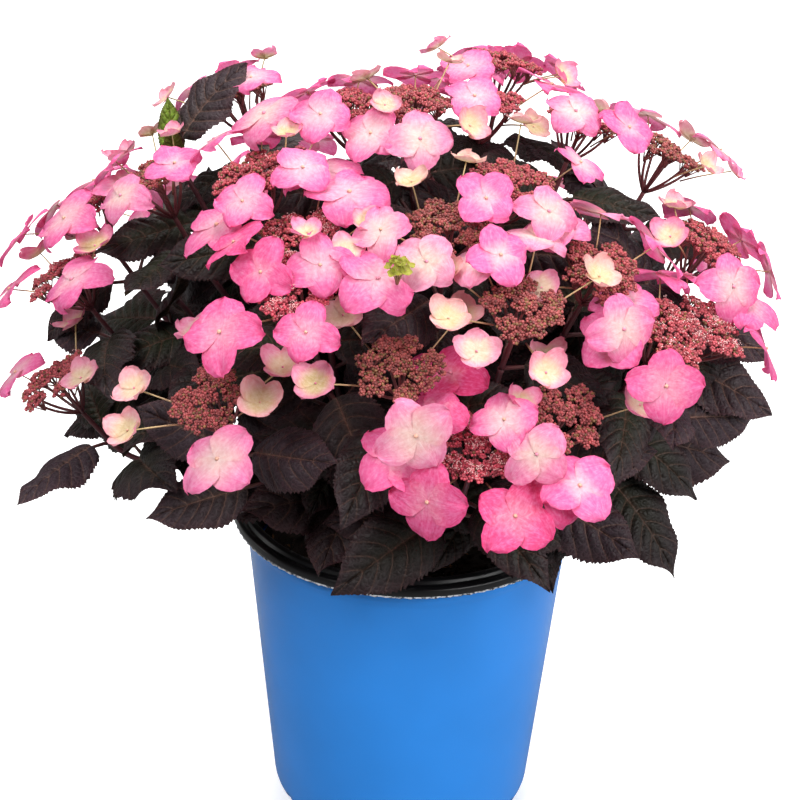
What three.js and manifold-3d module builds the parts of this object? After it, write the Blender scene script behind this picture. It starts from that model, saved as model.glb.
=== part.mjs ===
// A mountain hydrangea in flower, in its nursery pot. Lengths are in millimetres and +Z is up.
// The origin is the middle of the pot's flat underside; -Y is the plant's front.
//
// The shrub grows as the real one does. Canes rise from a woody crown at the soil. Each cane ends at
// a fork, where a mass of shoots goes on: pairs of opposite leaves up the stem, each pair a quarter
// turn from the last, and at the tip a flat flower head of small buds ringed by large sterile florets.

import * as THREE from "three";
import { mergeVertices } from "three/addons/utils/BufferGeometryUtils.js";
import Module from "manifold-3d";

const wasm = await Module();
wasm.setup();

// ---------------------------------------------------------------- driving dimensions

const CLEAR = 0.3; // the gap between neighbouring pieces
const BERTH = 0.4; // the room that a leaf or floret must have round it
const SLIVER = 0.05; // facets finer than this are smoothed away where shoots, leaves and florets join

const pot = {
  height: 237,
  rimRadius: 119, // outside of the rolled lip
  topRadius: 110.3, // outside of the wall, under the lip
  footRadius: 91, // outside of the wall, where the foot's bevel starts
  footHeight: 13,
  undersideRadius: 79,
  wall: 2,
  floor: 3,
  lipDrop: 10, // from the top of the lip to the top of the wall
  linerDepth: 43, // from the top of the lip to the lower edge of the inner band
  liner: 1.6,
  sides: 36, // of the round pieces, as facets
  drainHoles: 18,
  drainHoleLength: 8,
  drainHoleWidth: 5.6,
};
const wallTop = pot.height - pot.lipDrop;
const linerFoot = pot.height - pot.linerDepth;

const soil = { top: 202, edge: linerFoot - CLEAR, levelRadius: 42, fromWall: 0.7, fromLiner: 6 };

const crown = {
  flareRadius: 36, // of the foot, at the soil
  waistRadius: 28,
  shoulderRadius: 22,
  waist: 9, // heights above the soil
  shoulder: 22,
  height: 28,
  sides: 16,
};

const cane = {
  footRadius: 3.9,
  tipRadius: 3,
  sides: 5,
  steps: 4,
  forkShare: 0.42, // of the way from the crown to the flower heads
  arch: 0.2,
  innerRing: 11, // where the canes start on the crown
  outerRing: 22,
  innerAbove: 255, // canes whose flowers stand higher than this above the soil start from the inner ring
};
const shoot = { radius: 2.6, tipRadius: 1.7, sides: 3, branchEvery: 12 };

const head = {
  outwardLean: 0.32, // how far the axis leans out at 100 mm from the pot's axis, as a slope
  stalk: 58, // from the top leaves up to the buds
  rayLength: 30, // of the rays that open under the buds, here one slender cone
  raySpread: 9,
  radius: 27, // of the cushion of buds
  depth: 13,
  lobes: 6,
  notch: 0.87,
};
const floret = {
  radius: 18.5,
  halfOpen: 0.55, // the radius of one that is half open, as a share of a full one's
  ring: 42, // how far their middles stand from the head's axis
  root: 16, // and how far their stalks do
  stalkRadius: 0.8,
  notch: 0.8, // between the sepals, as a share of the radius
  droop: 0.1,
  thickness: 1.7,
};
const leaf = {
  lengths: [90, 82, 62], // of the pairs on a shoot, from its lowest joint to its top one
  width: 0.3, // half width, as a share of the length
  stalk: 15,
  stalkRadius: 1.3,
  thickness: 1.6,
  droop: 0.22,
  lowest: pot.height + 18, // no leaf hangs lower
};
const STEM = "stem"; // the name of all joints of a mass's own stems
const TRIES = 6; // the ways that a leaf or floret is swung before it is given up

// Each cane carries flower heads and leafy tips, each told as [bearing in degrees from +X towards +Y,
// distance out from the pot's axis, height above the soil]. A head's row goes on with the bearings, round
// its own axis, of its open florets, and then of its half-open ones. A row may end with the bearing of its
// last pair of leaves.
const canes = [
  {
    name: "crown",
    heads: [
      [266, 40, 322, [235, 275, 90], [60, 130, 315]],
      [48, 81, 320, [235, 115, 75, 25], [165, 320]],
    ],
    tips: [],
  },
  { name: "crown_left", heads: [[214, 54, 316, [255, 205, 125, 80], [310]]], tips: [] },
  {
    name: "crown_right",
    heads: [
      [3, 42, 313, [255, 110, 40], [310], 275],
      [3, 103, 301, [120, 250, 300], [70], 185],
    ],
    tips: [],
  },
  {
    name: "crown_front",
    heads: [
      [278, 131, 277, [205, 255, 310], [80]],
      [302, 106, 291, [25, 295, 245], [90]],
    ],
    tips: [],
  },
  {
    name: "left_high",
    heads: [
      [187, 166, 263, [130, 255, 315], [85]],
      [220, 124, 288, [265, 125, 75, 325], []],
    ],
    tips: [[180, 152, 268, 190]],
  },
  { name: "back_left_high", heads: [[157, 129, 298, [300, 135, 95], [60, 200]]], tips: [] },
  { name: "right_high", heads: [[9, 161, 274, [105], [60, 295, 350], 170]], tips: [] },
  {
    name: "front_left",
    heads: [
      [242, 141, 267, [165, 70, 240, 285], [315, 350]],
      [248, 178, 252, [220, 355, 130, 280], []],
    ],
    tips: [[252, 92, 92, 255]],
  },
  {
    name: "left",
    heads: [
      [185, 224, 197, [160, 300], [120, 340], 255],
      [175, 215, 227, [90, 130, 170, 270, 320], []],
    ],
    tips: [[192, 152, 186, 195]],
  },
  { name: "left_low", heads: [[192, 233, 136, [140], [320], 215]], tips: [] },
  {
    name: "left_front",
    heads: [[234, 198, 180, [275], [160, 200, 90, 10, 335], 330]],
    tips: [[228, 92, 104, 255]],
  },
  {
    name: "front",
    heads: [
      [281, 198, 171, [240, 195, 295, 335, 110], []],
      [268, 185, 215, [280], [130, 50, 200]],
    ],
    tips: [[280, 84, 106, 325]],
  },
  {
    name: "front_right",
    heads: [
      [290, 180, 247, [85], [160, 205, 240, 285, 35]],
      [296, 196, 184, [205, 245, 285], [20]],
    ],
    tips: [[303, 100, 98, 330]],
  },
  {
    name: "right_front",
    heads: [
      [310, 166, 254, [290, 95, 45], [210]],
      [318, 200, 219, [210, 105, 270], []],
    ],
    tips: [[319, 150, 108, 320]],
  },
  {
    name: "right",
    heads: [
      [348, 187, 236, [110, 50, 10, 285], [215]],
      [330, 203, 208, [10, 115], []],
    ],
    tips: [
      [332, 172, 134, 200],
      [344, 180, 184, 5],
    ],
  },
  {
    name: "back_right",
    heads: [
      [25, 205, 185, [10, 90, 290], []],
      [52, 180, 192, [20, 95, 170], []],
    ],
    tips: [],
  },
  {
    name: "back",
    heads: [
      [85, 195, 215, [20, 90, 170], []],
      [95, 130, 275, [10, 90, 165], []],
    ],
    tips: [],
  },
  {
    name: "back_left",
    heads: [
      [120, 195, 215, [60, 130, 210], []],
      [145, 205, 195, [95, 165, 230], []],
    ],
    tips: [],
  },
];

const colours = {
  potBlue: 0x3b86dc,
  rimBlack: 0x0b0b0d,
  soil: 0x2b1c12,
  wood: 0x4a2c22,
  cane: 0x3a161b,
  foliage: 0x6e2f49,
};

// ---------------------------------------------------------------- helpers

const UP = new THREE.Vector3(0, 0, 1);
const SUN = new THREE.Vector3(0, -1, 0); // the side that the leaves have turned to
const vec = (x, y, z) => new THREE.Vector3(x, y, z);
const mix = (a, b, t) => a.clone().lerp(b, t);
const along = (p, direction, distance) => p.clone().addScaledVector(direction, distance);
const wayBetween = (a, b) => b.clone().sub(a).normalize();
const radians = THREE.MathUtils.degToRad;

// A repeatable number from 0 to 1 for a set of whole-number keys.
function dice(...keys) {
  let h = 1;
  for (const key of [...keys, 1, 2]) h = (h * 16807 + (key + 1) * 7919) % 2147483647;
  return h / 2147483647;
}
const between = (low, high, ...keys) => low + (high - low) * dice(...keys);

// Two unit vectors square to an axis, which make a right-handed set with it.
function across(axis) {
  const aside = Math.abs(axis.z) > 0.95 ? vec(1, 0, 0) : UP;
  const side = new THREE.Vector3().crossVectors(aside, axis).normalize();
  return [side, new THREE.Vector3().crossVectors(axis, side)];
}

// The unit vector square to an axis that leads towards a bearing, in degrees from +X towards +Y.
function squareTo(axis, bearing) {
  const level = vec(Math.cos(radians(bearing)), Math.sin(radians(bearing)), 0);
  return level.addScaledVector(axis, -level.dot(axis)).normalize();
}

// A closed mesh whose skin runs through rings of points. Each ring goes round the way of travel by
// the right-hand rule, neighbours may differ in count, and a ring of one point closes to a tip.
function skin(rings) {
  const points = rings.flat();
  const faces = [];
  let start = 0;
  for (let r = 0; r + 1 < rings.length; r++) {
    const [m, n] = [rings[r].length, rings[r + 1].length];
    const lower = (i) => start + (i % m);
    const upper = (j) => start + m + (j % n);
    const steps = [m > 1 ? m : 0, n > 1 ? n : 0];
    for (let i = 0, j = 0; i < steps[0] || j < steps[1]; ) {
      const lowerNext = i < steps[0] && (j >= steps[1] || (i + 1) / m <= (j + 1) / n);
      if (lowerNext) faces.push(lower(i), lower(++i), upper(j));
      else faces.push(lower(i), upper(j + 1), upper(j++));
    }
    start += m;
  }
  const last = rings.at(-1).length;
  for (let i = 1; i + 1 < rings[0].length; i++) faces.push(0, i + 1, i);
  for (let i = 1; i + 1 < last; i++) faces.push(start, start + i, start + i + 1);
  const geometry = new THREE.BufferGeometry().setFromPoints(points);
  return geometry.setIndex(faces);
}

// A ring of points round a middle, square to an axis. It starts on the side that e1 points to.
function ring(middle, axis, e1, radius, sides, turn = 0) {
  const first = e1.clone().addScaledVector(axis, -e1.dot(axis)).normalize();
  const second = new THREE.Vector3().crossVectors(axis, first);
  return Array.from({ length: sides }, (_, i) => {
    const a = turn + (i / sides) * 2 * Math.PI;
    return along(along(middle, first, radius * Math.cos(a)), second, radius * Math.sin(a));
  });
}

// Stations of a tapering limb along a curve: each a middle, a direction and a radius.
function stationsOf(curve, footRadius, tipRadius, steps) {
  return Array.from({ length: steps + 1 }, (_, i) => {
    const t = i / steps;
    return [curve.getPoint(t), curve.getTangent(t), footRadius + (tipRadius - footRadius) * t];
  });
}

// The rings of a limb through its stations, with no twist between them.
function limbRings(stations, sides) {
  let [e1] = across(stations[0][1]);
  return stations.map(([middle, axis, radius]) => {
    e1 = e1.clone().addScaledVector(axis, -e1.dot(axis)).normalize();
    return ring(middle, axis, e1, radius, sides);
  });
}

function solidOf(geometry) {
  const bare = geometry.clone();
  bare.deleteAttribute("normal");
  bare.deleteAttribute("uv");
  const merged = mergeVertices(bare, 1e-4);
  return new wasm.Manifold(
    new wasm.Mesh({
      numProp: 3,
      vertProperties: new Float32Array(merged.attributes.position.array),
      triVerts: new Uint32Array(merged.index.array),
    }),
  );
}

function geometryOf(solid) {
  const mesh = solid.getMesh();
  return new THREE.BufferGeometry()
    .setAttribute("position", new THREE.BufferAttribute(mesh.vertProperties, 3))
    .setIndex(new THREE.BufferAttribute(mesh.triVerts, 1));
}

const lathe = (profile, sides) =>
  new THREE.LatheGeometry(profile.map(([r, z]) => new THREE.Vector2(r, z)), sides).rotateX(Math.PI / 2);

function part(name, geometry, colour, roughness) {
  geometry.computeVertexNormals();
  const material = new THREE.MeshStandardMaterial({ color: colour, roughness, metalness: 0 });
  const mesh = new THREE.Mesh(geometry, material);
  mesh.name = name;
  return mesh;
}

// ---------------------------------------------------------------- pot and soil

// The outside radius of the pot's wall at a height above the foot's bevel.
const wallRadius = (z) =>
  pot.footRadius + ((pot.topRadius - pot.footRadius) * (z - pot.footHeight)) / (wallTop - pot.footHeight);

// The thin blue wall: flat underside, bevelled foot with drain holes, and sides that widen upwards.
function potWall() {
  const shell = solidOf(
    lathe(
      [
        [0, 0],
        [pot.undersideRadius, 0],
        [pot.footRadius, pot.footHeight],
        [pot.topRadius, wallTop],
        [pot.topRadius - pot.wall, wallTop],
        [pot.footRadius - pot.wall, pot.footHeight + 1],
        [pot.undersideRadius - 1.5, pot.floor],
        [0, pot.floor],
      ],
      pot.sides,
    ),
  );
  const middle = (pot.undersideRadius + pot.footRadius) / 2;
  const holes = Array.from({ length: pot.drainHoles }, (_, i) => {
    const hole = new THREE.BoxGeometry(pot.drainHoleLength, pot.drainHoleWidth, pot.drainHoleLength);
    hole.rotateY(Math.atan2(pot.footRadius - pot.undersideRadius, pot.footHeight));
    hole.translate(middle, 0, pot.footHeight * 0.55);
    return solidOf(hole.rotateZ(((i + 0.5) / pot.drainHoles) * 2 * Math.PI));
  });
  return shell.subtract(wasm.Manifold.union(holes));
}

// The black lip, rolled outwards over the wall, with the band that runs down inside it.
function potRim() {
  const inner = (z) => wallRadius(z) - pot.wall - CLEAR;
  return lathe(
    [
      [inner(linerFoot) - pot.liner, linerFoot],
      [inner(linerFoot), linerFoot],
      [inner(wallTop), wallTop],
      [inner(wallTop), wallTop + CLEAR],
      [pot.rimRadius - 1, wallTop + CLEAR],
      [pot.rimRadius, wallTop + 4],
      [pot.rimRadius - 4, pot.height],
      [inner(wallTop), pot.height],
      [inner(wallTop) - pot.liner, pot.height - 2.5],
      [inner(linerFoot) - pot.liner, linerFoot],
    ],
    pot.sides,
  );
}

// Bark mix that fills the pot to just under the inner band, level round the crown.
function pottingMix() {
  return lathe(
    [
      [0, pot.floor + CLEAR],
      [pot.undersideRadius - 2.6, pot.floor + CLEAR],
      [pot.footRadius - pot.wall - soil.fromWall, pot.footHeight + 1.2],
      [wallRadius(soil.edge) - pot.wall - soil.fromWall, soil.edge],
      [wallRadius(soil.edge) - soil.fromLiner, soil.edge],
      [soil.levelRadius, soil.top],
      [0, soil.top],
    ],
    pot.sides,
  );
}

// ---------------------------------------------------------------- crown and canes

// The woody crown that all canes rise from, cut flat at the soil, with its flare; grow thickens it.
function woodyCrown(grow = 0) {
  const foot = soil.top + CLEAR;
  return lathe(
    [
      [0, foot - grow],
      [crown.flareRadius + grow, foot - grow],
      [crown.waistRadius + grow, foot + crown.waist + grow],
      [crown.shoulderRadius + grow, foot + crown.shoulder + grow],
      [0, foot + crown.height + grow],
    ],
    crown.sides,
  );
}

const placeOf = ([bearing, out, height]) =>
  vec(out * Math.cos(radians(bearing)), out * Math.sin(radians(bearing)), soil.top + height);

const middleOf = (points) => points.reduce((sum, p) => sum.add(p), vec(0, 0, 0)).divideScalar(points.length);

// What a cane leans towards: the middle of all that it carries.
const aimOf = (row) => middleOf([...row.heads, ...row.tips].map(placeOf));
const isInner = (row) => aimOf(row).z > soil.top + cane.innerAbove;

// The bearing at which a cane leaves the crown. The canes of a ring stand evenly round it, in the
// order of the bearings that they lean to, and the ring is turned to suit them all.
function footBearing(row) {
  const lean = (one) => Math.atan2(aimOf(one).y, aimOf(one).x);
  const others = canes.filter((one) => isInner(one) === isInner(row)).sort((a, b) => lean(a) - lean(b));
  const step = (2 * Math.PI) / others.length;
  const turns = others.map((one, i) => lean(one) - i * step);
  return turns.reduce((sum, turn) => sum + turn, 0) / others.length + others.indexOf(row) * step;
}

// A cane's line: it leaves the crown steeply and arches over towards what it carries.
function caneCurve(row) {
  const bearing = footBearing(row);
  const r = isInner(row) ? cane.innerRing : cane.outerRing;
  const foot = vec(r * Math.cos(bearing), r * Math.sin(bearing), soil.top + crown.waist);
  const fork = mix(foot, aimOf(row), cane.forkShare);
  const bend = mix(foot, fork, 0.5).addScaledVector(UP, foot.distanceTo(fork) * cane.arch);
  return new THREE.QuadraticBezierCurve3(foot, bend, fork);
}

// ---------------------------------------------------------------- shoots, leaves and flowers

// The axis of a flower head: mostly upright, leaning out from the middle of the plant.
const headAxis = ({ x, y }) => vec(x, y, 0).multiplyScalar(head.outwardLean / 100).add(UP).normalize();

// A shoot's line, which leaves its root one way and ends at its tip along an axis.
function shootCurve(root, way, tip, axis) {
  const reach = root.distanceTo(tip) / 3;
  return new THREE.CubicBezierCurve3(root, along(root, way, reach), along(tip, axis, -reach), tip);
}

// The rings of a flower head on from its shoot: the stem above the top leaves, opening into the rays
// that carry the buds, and the lobed cushion that the buds make up.
function headRings(place, axis, e1) {
  const brim = along(place, axis, -1);
  const top = along(place, axis, head.depth * 0.3);
  const lobed = (middle, radius) =>
    ring(middle, axis, e1, radius, head.lobes).map((p, i) => (i % 2 ? mix(middle, p, head.notch) : p));
  return [
    ring(along(place, axis, -head.rayLength), axis, e1, shoot.tipRadius, shoot.sides),
    ring(along(place, axis, -head.depth * 0.4), axis, e1, head.raySpread, shoot.sides),
    lobed(brim, head.radius),
    lobed(top, head.radius * 0.66),
    [along(place, axis, head.depth * 0.55)],
  ];
}

// A sterile floret on its thin stalk from the cushion, its four broad sepals in one outline.
function floretRings(place, axis, bearing, isOpen, keys) {
  const out = squareTo(axis, bearing + (keys.at(-1) ? between(-16, 16, ...keys, 2) : 0));
  const reach = floret.ring * between(0.94, 1.18, ...keys, 3);
  const middle = along(along(place, out, reach), axis, between(-4, 14, ...keys, 4));
  const tilt = radians(between(4, 50, ...keys, 5));
  const normal = axis.clone().multiplyScalar(Math.cos(tilt)).addScaledVector(out, Math.sin(tilt));
  const radius = floret.radius * between(0.82, 1.18, ...keys, 6) * (isOpen ? 1 : floret.halfOpen);
  const turn = between(0, Math.PI / 2, ...keys, 7);
  const sideways = new THREE.Vector3().crossVectors(axis, out);
  const brim = along(middle, normal, -radius * floret.droop);
  const outline = ring(brim, normal, sideways, radius, 8, turn).map((p, k) =>
    k % 2 ? mix(brim, p, floret.notch) : p,
  );
  const root = along(place, out, floret.root);
  const way = wayBetween(root, middle);
  return [
    ring(root, way, sideways, floret.stalkRadius, 3),
    ring(along(middle, normal, -floret.thickness), normal, sideways, floret.stalkRadius * 1.6, 3),
    outline,
    [middle],
  ];
}

// A leaf on its stalk: a three-cornered ring at each of the foot and the widest part, and a point.
function leafRings(root, tangent, a, length, keys) {
  const [e1, e2] = across(tangent);
  const side = e1.clone().multiplyScalar(Math.cos(a)).addScaledVector(e2, Math.sin(a));
  const outward = vec(root.x, root.y, 0).normalize();
  const stalkWay = side.clone().multiplyScalar(0.8).addScaledVector(tangent, 0.6).normalize();
  const foot = along(root, stalkWay, leaf.stalk);
  const rise = between(-0.1, 0.4, ...keys, 1);
  const way = side.clone().addScaledVector(UP, rise).addScaledVector(outward, 0.25).normalize();
  const facing = UP.clone().addScaledVector(outward, 0.6).addScaledVector(SUN, 0.6);
  const normal = facing.addScaledVector(way, -facing.dot(way)).normalize();
  const right = new THREE.Vector3().crossVectors(normal, way);
  const droop = leaf.droop * between(0.5, 1.3, ...keys, 2);
  const at = (s, halfWidth, depth) => {
    const p = along(along(foot, way, length * s), normal, -length * droop * s * s);
    return [along(p, right, halfWidth), along(p, right, -halfWidth), along(p, normal, -depth)];
  };
  const half = length * leaf.width;
  return [
    ring(root, stalkWay, right, leaf.stalkRadius, 3, Math.PI / 6),
    at(0, leaf.stalkRadius, leaf.stalkRadius),
    at(0.42, half, leaf.thickness),
    [along(along(foot, way, length), normal, -length * droop)],
  ];
}

// Each wanted leaf of a shoot as a function of the try: opposite pairs from the joint numbered first on, a
// quarter turn between pairs. The bearing of the last pair may be given.
function wantedLeaves(curve, keys, first, bearing) {
  const [e1, e2] = across(curve.getTangent(1));
  const side = squareTo(curve.getTangent(1), bearing ?? between(0, 180, ...keys, 8));
  const roll = Math.atan2(side.dot(e2), side.dot(e1)) - ((leaf.lengths.length - 1) * Math.PI) / 2;
  const grow = (j, half) => (attempt) => {
    const share = (j + 1) / leaf.lengths.length;
    const turn = roll + (j * Math.PI) / 2 + half * Math.PI;
    const swing = attempt ? between(-1.2, 1.2, ...keys, j, half, attempt) : 0;
    const length = leaf.lengths[j] * between(0.85, 1.15, ...keys, j, half) * (1 - 0.06 * attempt);
    const ownKeys = [...keys, j, half, attempt];
    return leafRings(curve.getPoint(share), curve.getTangent(share), turn + swing, length, ownKeys);
  };
  const joints = leaf.lengths.map((_, j) => j).slice(first);
  return joints.flatMap((j) => [0, 1].map((half) => ({ joint: [...keys, j].join(), grow: grow(j, half) })));
}

// ---------------------------------------------------------------- growing the plant

const wall = potWall();
const grownCrown = solidOf(woodyCrown(CLEAR));
const pieces = [
  part("pot_wall", geometryOf(wall), colours.potBlue, 0.3),
  part("pot_rim", potRim(), colours.rimBlack, 0.3),
  part("potting_mix", pottingMix(), colours.soil, 0.95),
  part("woody_crown", woodyCrown(), colours.wood, 0.9),
];

// What stands already, so that a leaf or floret in its way is swung aside or left out.
const standing = [];
const stand = (mass, joint, solid) => standing.push({ mass, joint, solid, box: solid.boundingBox() });
pieces.forEach((piece) => stand(piece.name, null, solidOf(piece.geometry)));

// Whether a leaf or floret is clear of everything, but for its stalk, which starts in its own stem and
// meets the other leaf of its pair there.
function isClear(whole, blade, mass, joint) {
  const box = whole.boundingBox();
  if (box.min[2] < leaf.lowest) return false;
  const past = (a, b) => [0, 1, 2].some((k) => a.min[k] > b.max[k] + BERTH);
  return standing.every((other) => {
    if (past(box, other.box) || past(other.box, box)) return true;
    const fused = other.mass === mass && [STEM, joint].includes(other.joint);
    const tested = fused ? blade : whole;
    return tested.minGap(other.solid, BERTH) >= BERTH;
  });
}

// Canes and stems first: they are never left out.
const masses = canes.map((row, m) => {
  const curve = caneCurve(row);
  const caneRings = limbRings(stationsOf(curve, cane.footRadius, cane.tipRadius, cane.steps), cane.sides);
  const caneSolid = solidOf(skin(caneRings)).subtract(grownCrown);
  const mass = `foliage_${row.name}`;
  stand(`cane_${row.name}`, null, caneSolid);
  pieces.push(part(`cane_${row.name}`, geometryOf(caneSolid), colours.cane, 0.7));

  const way = curve.getTangent(1);
  const start = along(curve.getPoint(1), way, CLEAR);
  const stems = [];
  const wanted = { florets: [], leaves: [] };
  let main = null; // the first shoot, which goes on from the cane, and which the others branch from
  [...row.heads, ...row.tips].forEach((target, s) => {
    const flowering = s < row.heads.length;
    const place = placeOf(target);
    const axis = flowering ? headAxis(place) : mix(headAxis(place), way, 0.5).normalize();
    const tip = flowering ? along(place, axis, -head.stalk) : place;
    const root = main ? along(start, main, s * shoot.branchEvery) : start;
    const line = shootCurve(root, main ? wayBetween(root, tip).add(way).normalize() : way, tip, axis);
    main ??= wayBetween(start, line.getPoint(1 / leaf.lengths.length));
    const radius = s ? shoot.tipRadius : shoot.radius;
    const rings = limbRings(stationsOf(line, radius, shoot.tipRadius, leaf.lengths.length), shoot.sides);
    const e1 = rings.at(-1)[0].clone().sub(tip);
    stems.push(skin(flowering ? [...rings, ...headRings(place, axis, e1)] : rings));
    const [open, halfOpen, pairBearing] = flowering ? target.slice(3) : [[], [], target[3]];
    [...open, ...halfOpen].forEach((bearing, i) => {
      const grow = (attempt) => floretRings(place, axis, bearing, i < open.length, [m, s, i, attempt]);
      wanted.florets.push({ joint: ["floret", m, s, i].join(), grow });
    });
    wanted.leaves.push(...wantedLeaves(line, [m, s], flowering ? 1 : 0, pairBearing));
  });
  const stemSolid = wasm.Manifold.union(stems.map(solidOf));
  stand(mass, STEM, stemSolid);
  return { mass, wanted, kept: [stemSolid] };
});

// Then the florets of all masses, and then their leaves, wherever there is room.
for (const kind of ["florets", "leaves"]) {
  for (const { mass, wanted, kept } of masses) {
    for (const { joint, grow } of wanted[kind]) {
      for (let attempt = 0; attempt < TRIES; attempt++) {
        const rings = grow(attempt);
        const whole = solidOf(skin(rings));
        if (!isClear(whole, solidOf(skin(rings.slice(1))), mass, joint)) continue;
        kept.push(whole);
        stand(mass, joint, whole);
        break;
      }
    }
  }
}
for (const { mass, kept } of masses) {
  // A speck of air shut in where stalks meet comes out as a body of its own, inside out, and is left out.
  const bodies = wasm.Manifold.union(kept).simplify(SLIVER).decompose();
  const filled = wasm.Manifold.compose(bodies.filter((body) => body.volume() > 0));
  pieces.push(part(mass, geometryOf(filled), colours.foliage, 0.8));
}

const shrub = new THREE.Group();
shrub.name = "potted_hydrangea";
shrub.add(...pieces);

export default shrub;
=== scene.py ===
"""A mountain hydrangea in flower, in its blue nursery pot. Lengths are in metres, +Z is up, the origin
is the middle of the pot's underside, and the plant's front is towards -Y. The sections follow the
plant as it is put together: pot, lip, potting mix, woody crown, canes and shoots, the room that each
takes, sterile florets, leaves, fertile buds, and then the studio."""

import math

import bpy
import numpy as np
from mathutils import Matrix, Vector
from mathutils.bvhtree import BVHTree


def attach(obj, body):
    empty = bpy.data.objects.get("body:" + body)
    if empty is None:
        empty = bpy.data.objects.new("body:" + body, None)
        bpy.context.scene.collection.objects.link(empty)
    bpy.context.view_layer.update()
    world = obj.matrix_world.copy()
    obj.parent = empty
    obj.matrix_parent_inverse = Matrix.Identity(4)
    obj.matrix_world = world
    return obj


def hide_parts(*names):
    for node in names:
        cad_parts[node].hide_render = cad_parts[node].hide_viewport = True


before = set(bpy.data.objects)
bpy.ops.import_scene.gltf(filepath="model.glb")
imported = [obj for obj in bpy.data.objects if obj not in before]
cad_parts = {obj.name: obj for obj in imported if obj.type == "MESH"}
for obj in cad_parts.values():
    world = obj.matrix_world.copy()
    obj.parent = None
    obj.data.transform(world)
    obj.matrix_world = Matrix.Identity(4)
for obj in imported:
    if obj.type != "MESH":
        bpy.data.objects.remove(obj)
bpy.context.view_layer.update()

# ----------------------------------------------------------------------------------------------
# Pot wall. A thin tapered wall of blue plastic, drawn down over a mould from one warm sheet, which
# leaves a soft bead under the lip and a bevelled foot with a row of oval drain holes at the corner.

POT_HEIGHT = 0.237
WALL_TOP = 0.227
WALL_TOP_RADIUS = 0.1103
FOOT_HEIGHT = 0.013
FOOT_RADIUS = 0.091
UNDERSIDE_RADIUS = 0.079
WALL = 0.002
DRAIN_HOLES = 18
DRAIN_HOLE_DEPTH = 0.0035
DRAIN_HOLE_AT = 0.00975
BEAD_HEIGHT = 0.2175
BEAD_STANDS_OUT = 0.0006
BLUE = (0.029, 0.255, 0.79)
HOLE_SHADE_BLUE = (0.002, 0.008, 0.03)
OPEN_GRID = (False, False)


def surface(name, points, closed=(False, True), weld=True, uv=None, tint=None, flip=False):
    """One mesh of one or more grids. points is an array (grids, rows, columns, 3), or without the
    first axis for one grid. Each cell of a grid is two triangles. closed tells whether the last row
    joins the first, and whether the last column joins the first. weld makes points at one place one
    vertex and drops the triangles that this leaves without area, which closes seams and poles. uv (2
    numbers) and tint (3 numbers) go with the points, as a UV map and a colour attribute, and flip
    turns every face over."""
    points = np.asarray(points, dtype=float)
    points = points[None] if points.ndim == 3 else points
    grids, rows, columns = points.shape[:3]
    r = np.arange(rows if closed[0] else rows - 1)[:, None]
    c = np.arange(columns if closed[1] else columns - 1)[None, :]
    corner = lambda i, j: ((i % rows) * columns + (j % columns)).ravel()
    a, b, d, e = corner(r, c), corner(r, c + 1), corner(r + 1, c + 1), corner(r + 1, c)
    cells = np.concatenate([np.stack([a, b, d], 1), np.stack([a, d, e], 1)])
    if flip:
        cells = cells[:, ::-1]
    triangles = (np.arange(grids)[:, None, None] * rows * columns + cells).reshape(-1, 3)
    vertices = points.reshape(-1, 3)
    kept = np.arange(len(vertices))
    if weld:
        keys = np.round(vertices * 1e7).astype(np.int64)
        _, kept, place = np.unique(keys, axis=0, return_index=True, return_inverse=True)
        triangles = place.reshape(-1)[triangles]
        same = (triangles == np.roll(triangles, 1, axis=1)).any(axis=1)
        triangles = triangles[~same]
    return mesh_piece(
        name,
        vertices[kept],
        triangles,
        None if uv is None else np.asarray(uv).reshape(-1, 2)[kept],
        None if tint is None else np.asarray(tint).reshape(-1, 3)[kept],
    )


def mesh_piece(name, vertices, triangles, uv=None, tint=None):
    """A smooth-shaded object from arrays of vertices and triangles, riding on the part's one body."""
    mesh = bpy.data.meshes.new(name)
    mesh.vertices.add(len(vertices))
    mesh.vertices.foreach_set("co", np.ascontiguousarray(vertices, dtype=np.float32).ravel())
    mesh.loops.add(triangles.size)
    mesh.loops.foreach_set("vertex_index", triangles.ravel().astype(np.int32))
    mesh.polygons.add(len(triangles))
    mesh.polygons.foreach_set("loop_start", np.arange(0, triangles.size, 3, dtype=np.int32))
    mesh.polygons.foreach_set("use_smooth", np.ones(len(triangles), dtype=bool))
    if uv is not None:
        layer = mesh.uv_layers.new(name="UVMap")
        layer.data.foreach_set("uv", uv[triangles.ravel()].astype(np.float32).ravel())
    if tint is not None:
        rgba = np.concatenate([tint, np.ones((len(tint), 1))], axis=1)
        layer = mesh.color_attributes.new("Tint", "FLOAT_COLOR", "POINT")
        layer.data.foreach_set("color", rgba.astype(np.float32).ravel())
    mesh.update(calc_edges=True)
    piece = bpy.data.objects.new(name, mesh)
    bpy.context.collection.objects.link(piece)
    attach(piece, "root")
    return piece


def rounded(corners, steps=6):
    """The points of a profile with its corners rounded. A corner is (radius out, height, rounding):
    its arc is a quadratic curve between the two points at that distance before and after it."""
    corners = np.asarray(corners, dtype=float)
    line = [corners[:1, :2]]
    for before, at, after in zip(corners, corners[1:], corners[2:]):
        p, q, s = before[:2], at[:2], after[:2]
        into = q + (p - q) / np.linalg.norm(p - q) * at[2]
        out = q + (s - q) / np.linalg.norm(s - q) * at[2]
        t = np.linspace(0, 1, steps if at[2] else 1)[:, None]
        line.append((1 - t) ** 2 * into + 2 * t * (1 - t) * q + t**2 * out)
    return np.concatenate([*line, corners[-1:, :2]])


def turned(profile, around=256):
    """A profile turned about Z: the point at angle a is (radius cos a, radius sin a, height)."""
    a = np.linspace(0, 2 * np.pi, around, endpoint=False)
    out, up = profile[:, 0, None], profile[:, 1, None]
    return np.stack([out * np.cos(a), out * np.sin(a), up + 0 * a], axis=-1)


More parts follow.
